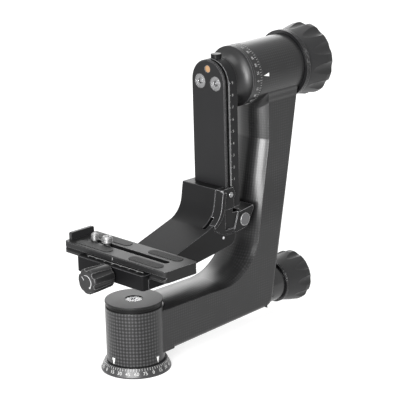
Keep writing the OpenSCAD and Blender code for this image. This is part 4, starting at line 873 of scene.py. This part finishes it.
def on_plate_side(y0, z0):
    """Places a mark on the plate's long side that faces the clamp knob."""
    def place(x, y, z):
        return (plate_low.x - z, y0 + x, z0 + y)
    return place


CENTRE_Y = 4 * MM
CENTRE_Z = 100.6 * MM
centre_mark = Marks("plate_centre_mark")
centre_mark.add(bar(0.45 * MM, 2.6 * MM), on_plate_side(CENTRE_Y, CENTRE_Z), proud=FLUSH)
centre_mark.lay("lens_plate", print_grey)
dress(grip, "stop_lip")

pad_rubber = finish("pad_rubber", (0.02, 0.02, 0.02), 0.7, grain=0.9 * MM, contrast=0.9,
                    depth=0.3 * MM, glint_share=0.0)
smooth_rubber = finish("smooth_pad_rubber", (0.03, 0.03, 0.03), 0.6, contrast=0.2,
                       grain=0.4 * MM, depth=0.03 * MM, glint_share=0.0)
pad_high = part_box("plate_pads")[1]
PAD_R = 4.7 * MM
PAD_END_STEPS = 20
PAD_LEVELS = ((PAD_R, plate_high.z), (PAD_R, pad_high.z - 0.3 * MM),
              (PAD_R - 0.1 * MM, pad_high.z - 0.1 * MM), (PAD_R - 0.3 * MM, pad_high.z))
NEAR_PADS = (-48.5 * MM, -9.8 * MM)
FAR_PADS = (13.6 * MM, pad_high.y)
ROUGH, SMOOTH = 0, 1
bm = bmesh.new()
for side in (-1, 1):
    middle_x = side * (pad_high.x - PAD_R)
    for (start, end), rubber_kind in ((NEAR_PADS, ROUGH), (FAR_PADS, SMOOTH)):
        outline = []
        for centre_y, first in ((end - PAD_R, 0), (start + PAD_R, math.pi)):
            for i in range(PAD_END_STEPS + 1):
                a = first + math.pi * i / PAD_END_STEPS
                outline.append((math.cos(a), math.sin(a), centre_y))
        rings = [[bm.verts.new((middle_x + r * c, y + r * s, z)) for c, s, y in outline]
                 for r, z in PAD_LEVELS]
        close_skin(bm, rings).material_index = rubber_kind
bmesh.ops.recalc_face_normals(bm, faces=bm.faces)
pads = piece_of("oval_pads", bm, pad_rubber, smooth_rubber)
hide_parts("plate_pads")
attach(pads, "lens_plate")

# ---------------------------------------------------------------- camera screws
# Turned steel screws with a rolled thread, held in the slot by washers, so that they slide and
# spin under the camera or lens foot. The small one ends in a dome, the large one in a hex socket.
SCREW_SIDES = 96
STEPS_PER_TURN = 16
HEAD_R = 6.2 * MM
HEAD_HEIGHT = 2.9 * MM
NECK_R = 2.7 * MM
BROKEN_EDGE = 0.25 * MM
THREAD_FOOT = 103.3 * MM
SOCKET_DEPTH = 2.5 * MM
# The form of the thread over one pitch
THREAD_DEPTH = 0.36
CREST = 1.35
FLANK = 3.4
# Shares of the thread's radius, of the dome's height, and slopes
CHAMFER = 0.28
DOME_R = 0.7
DOME_RISE = 0.999
DOME_STEPS = (0.0, 0.3, 0.55, 0.75, 0.9, 0.97)
RUN_IN = 0.6 / 0.35
CHAMFER_SLOPE = 0.9
screw_steel = finish("camera_screw_steel", (0.3, 0.3, 0.3), 0.4, contrast=0.08, depth=0.003 * MM,
                     edge=0.1 * MM, glint_share=0.0, metallic=1.0, specular=0.5)


def threaded_screw(name, node, body, thread_r, pitch, dome=0.0, socket_r=0.0):
    """Head, neck and thread of a camera screw in one closed skin, in place of the plain one."""
    low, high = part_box(node)
    middle = (low + high) / 2
    top = high.z - dome
    chamfer = thread_r * CHAMFER
    bm = bmesh.new()
    rings = []

    def add_ring(z, radius_at):
        """A ring of points whose radius follows the share of the turn."""
        ring = []
        for i in range(SCREW_SIDES):
            a = math.tau * i / SCREW_SIDES
            r = radius_at(i / SCREW_SIDES)
            ring.append(bm.verts.new((middle.x + r * math.cos(a), middle.y + r * math.sin(a), z)))
        rings.append(ring)

    def thread_at(z):
        """The thread's radius at a height, held down where it runs in and at its chamfer."""
        climbed = z - THREAD_FOOT
        ends = min(NECK_R + climbed * RUN_IN,
                   thread_r - max(0.0, chamfer - (top - z)) * CHAMFER_SLOPE)

        def radius(turn):
            phase = (climbed / pitch - turn) % 1.0
            crest = max(0.0, min(1.0, CREST - abs(phase - 0.5) * FLANK))
            return min(thread_r - THREAD_DEPTH * pitch * (1 - crest), ends)
        return radius

    def hexagon(turn):
        """The radius of a hexagonal socket."""
        return socket_r / math.cos((turn * 6 + 0.5) % 1.0 * math.pi / 3 - math.pi / 6)

    for z, r in ((low.z, HEAD_R - BROKEN_EDGE), (low.z + BROKEN_EDGE, HEAD_R),
                 (low.z + HEAD_HEIGHT - BROKEN_EDGE, HEAD_R),
                 (low.z + HEAD_HEIGHT, HEAD_R - BROKEN_EDGE), (low.z + HEAD_HEIGHT, NECK_R),
                 (THREAD_FOOT - BROKEN_EDGE, NECK_R)):
        add_ring(z, lambda turn, r=r: r)
    steps = int((top - THREAD_FOOT) / pitch * STEPS_PER_TURN)
    for k in range(steps + 1):
        z = THREAD_FOOT + (top - THREAD_FOOT) * k / steps
        add_ring(z, thread_at(z))
    if dome:
        for share in DOME_STEPS:
            r = thread_r * DOME_R * (1 - share)
            rise = dome * math.sqrt(1 - (1 - share) ** 2) * DOME_RISE
            add_ring(top + rise, lambda turn, r=r: r)
    if socket_r:
        add_ring(high.z, hexagon)
        add_ring(high.z - SOCKET_DEPTH, hexagon)
    close_skin(bm, rings)
    piece = piece_of(name, bm, screw_steel)
    for face in piece.data.polygons:
        face.use_smooth = len(face.vertices) == 4
    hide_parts(node)
    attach(piece, body)


threaded_screw("quarter_screw_thread", "quarter_screw", "quarter_screw",
               thread_r=3.175 * MM, pitch=1.27 * MM, dome=1.0 * MM)
threaded_screw("three_eighths_screw_thread", "three_eighths_screw", "three_eighths_screw",
               thread_r=4.76 * MM, pitch=1.5875 * MM, socket_r=2.2 * MM)

# ---------------------------------------------------------------- view
# Colours are shown as they are written.
bpy.context.scene.view_settings.view_transform = "Standard"
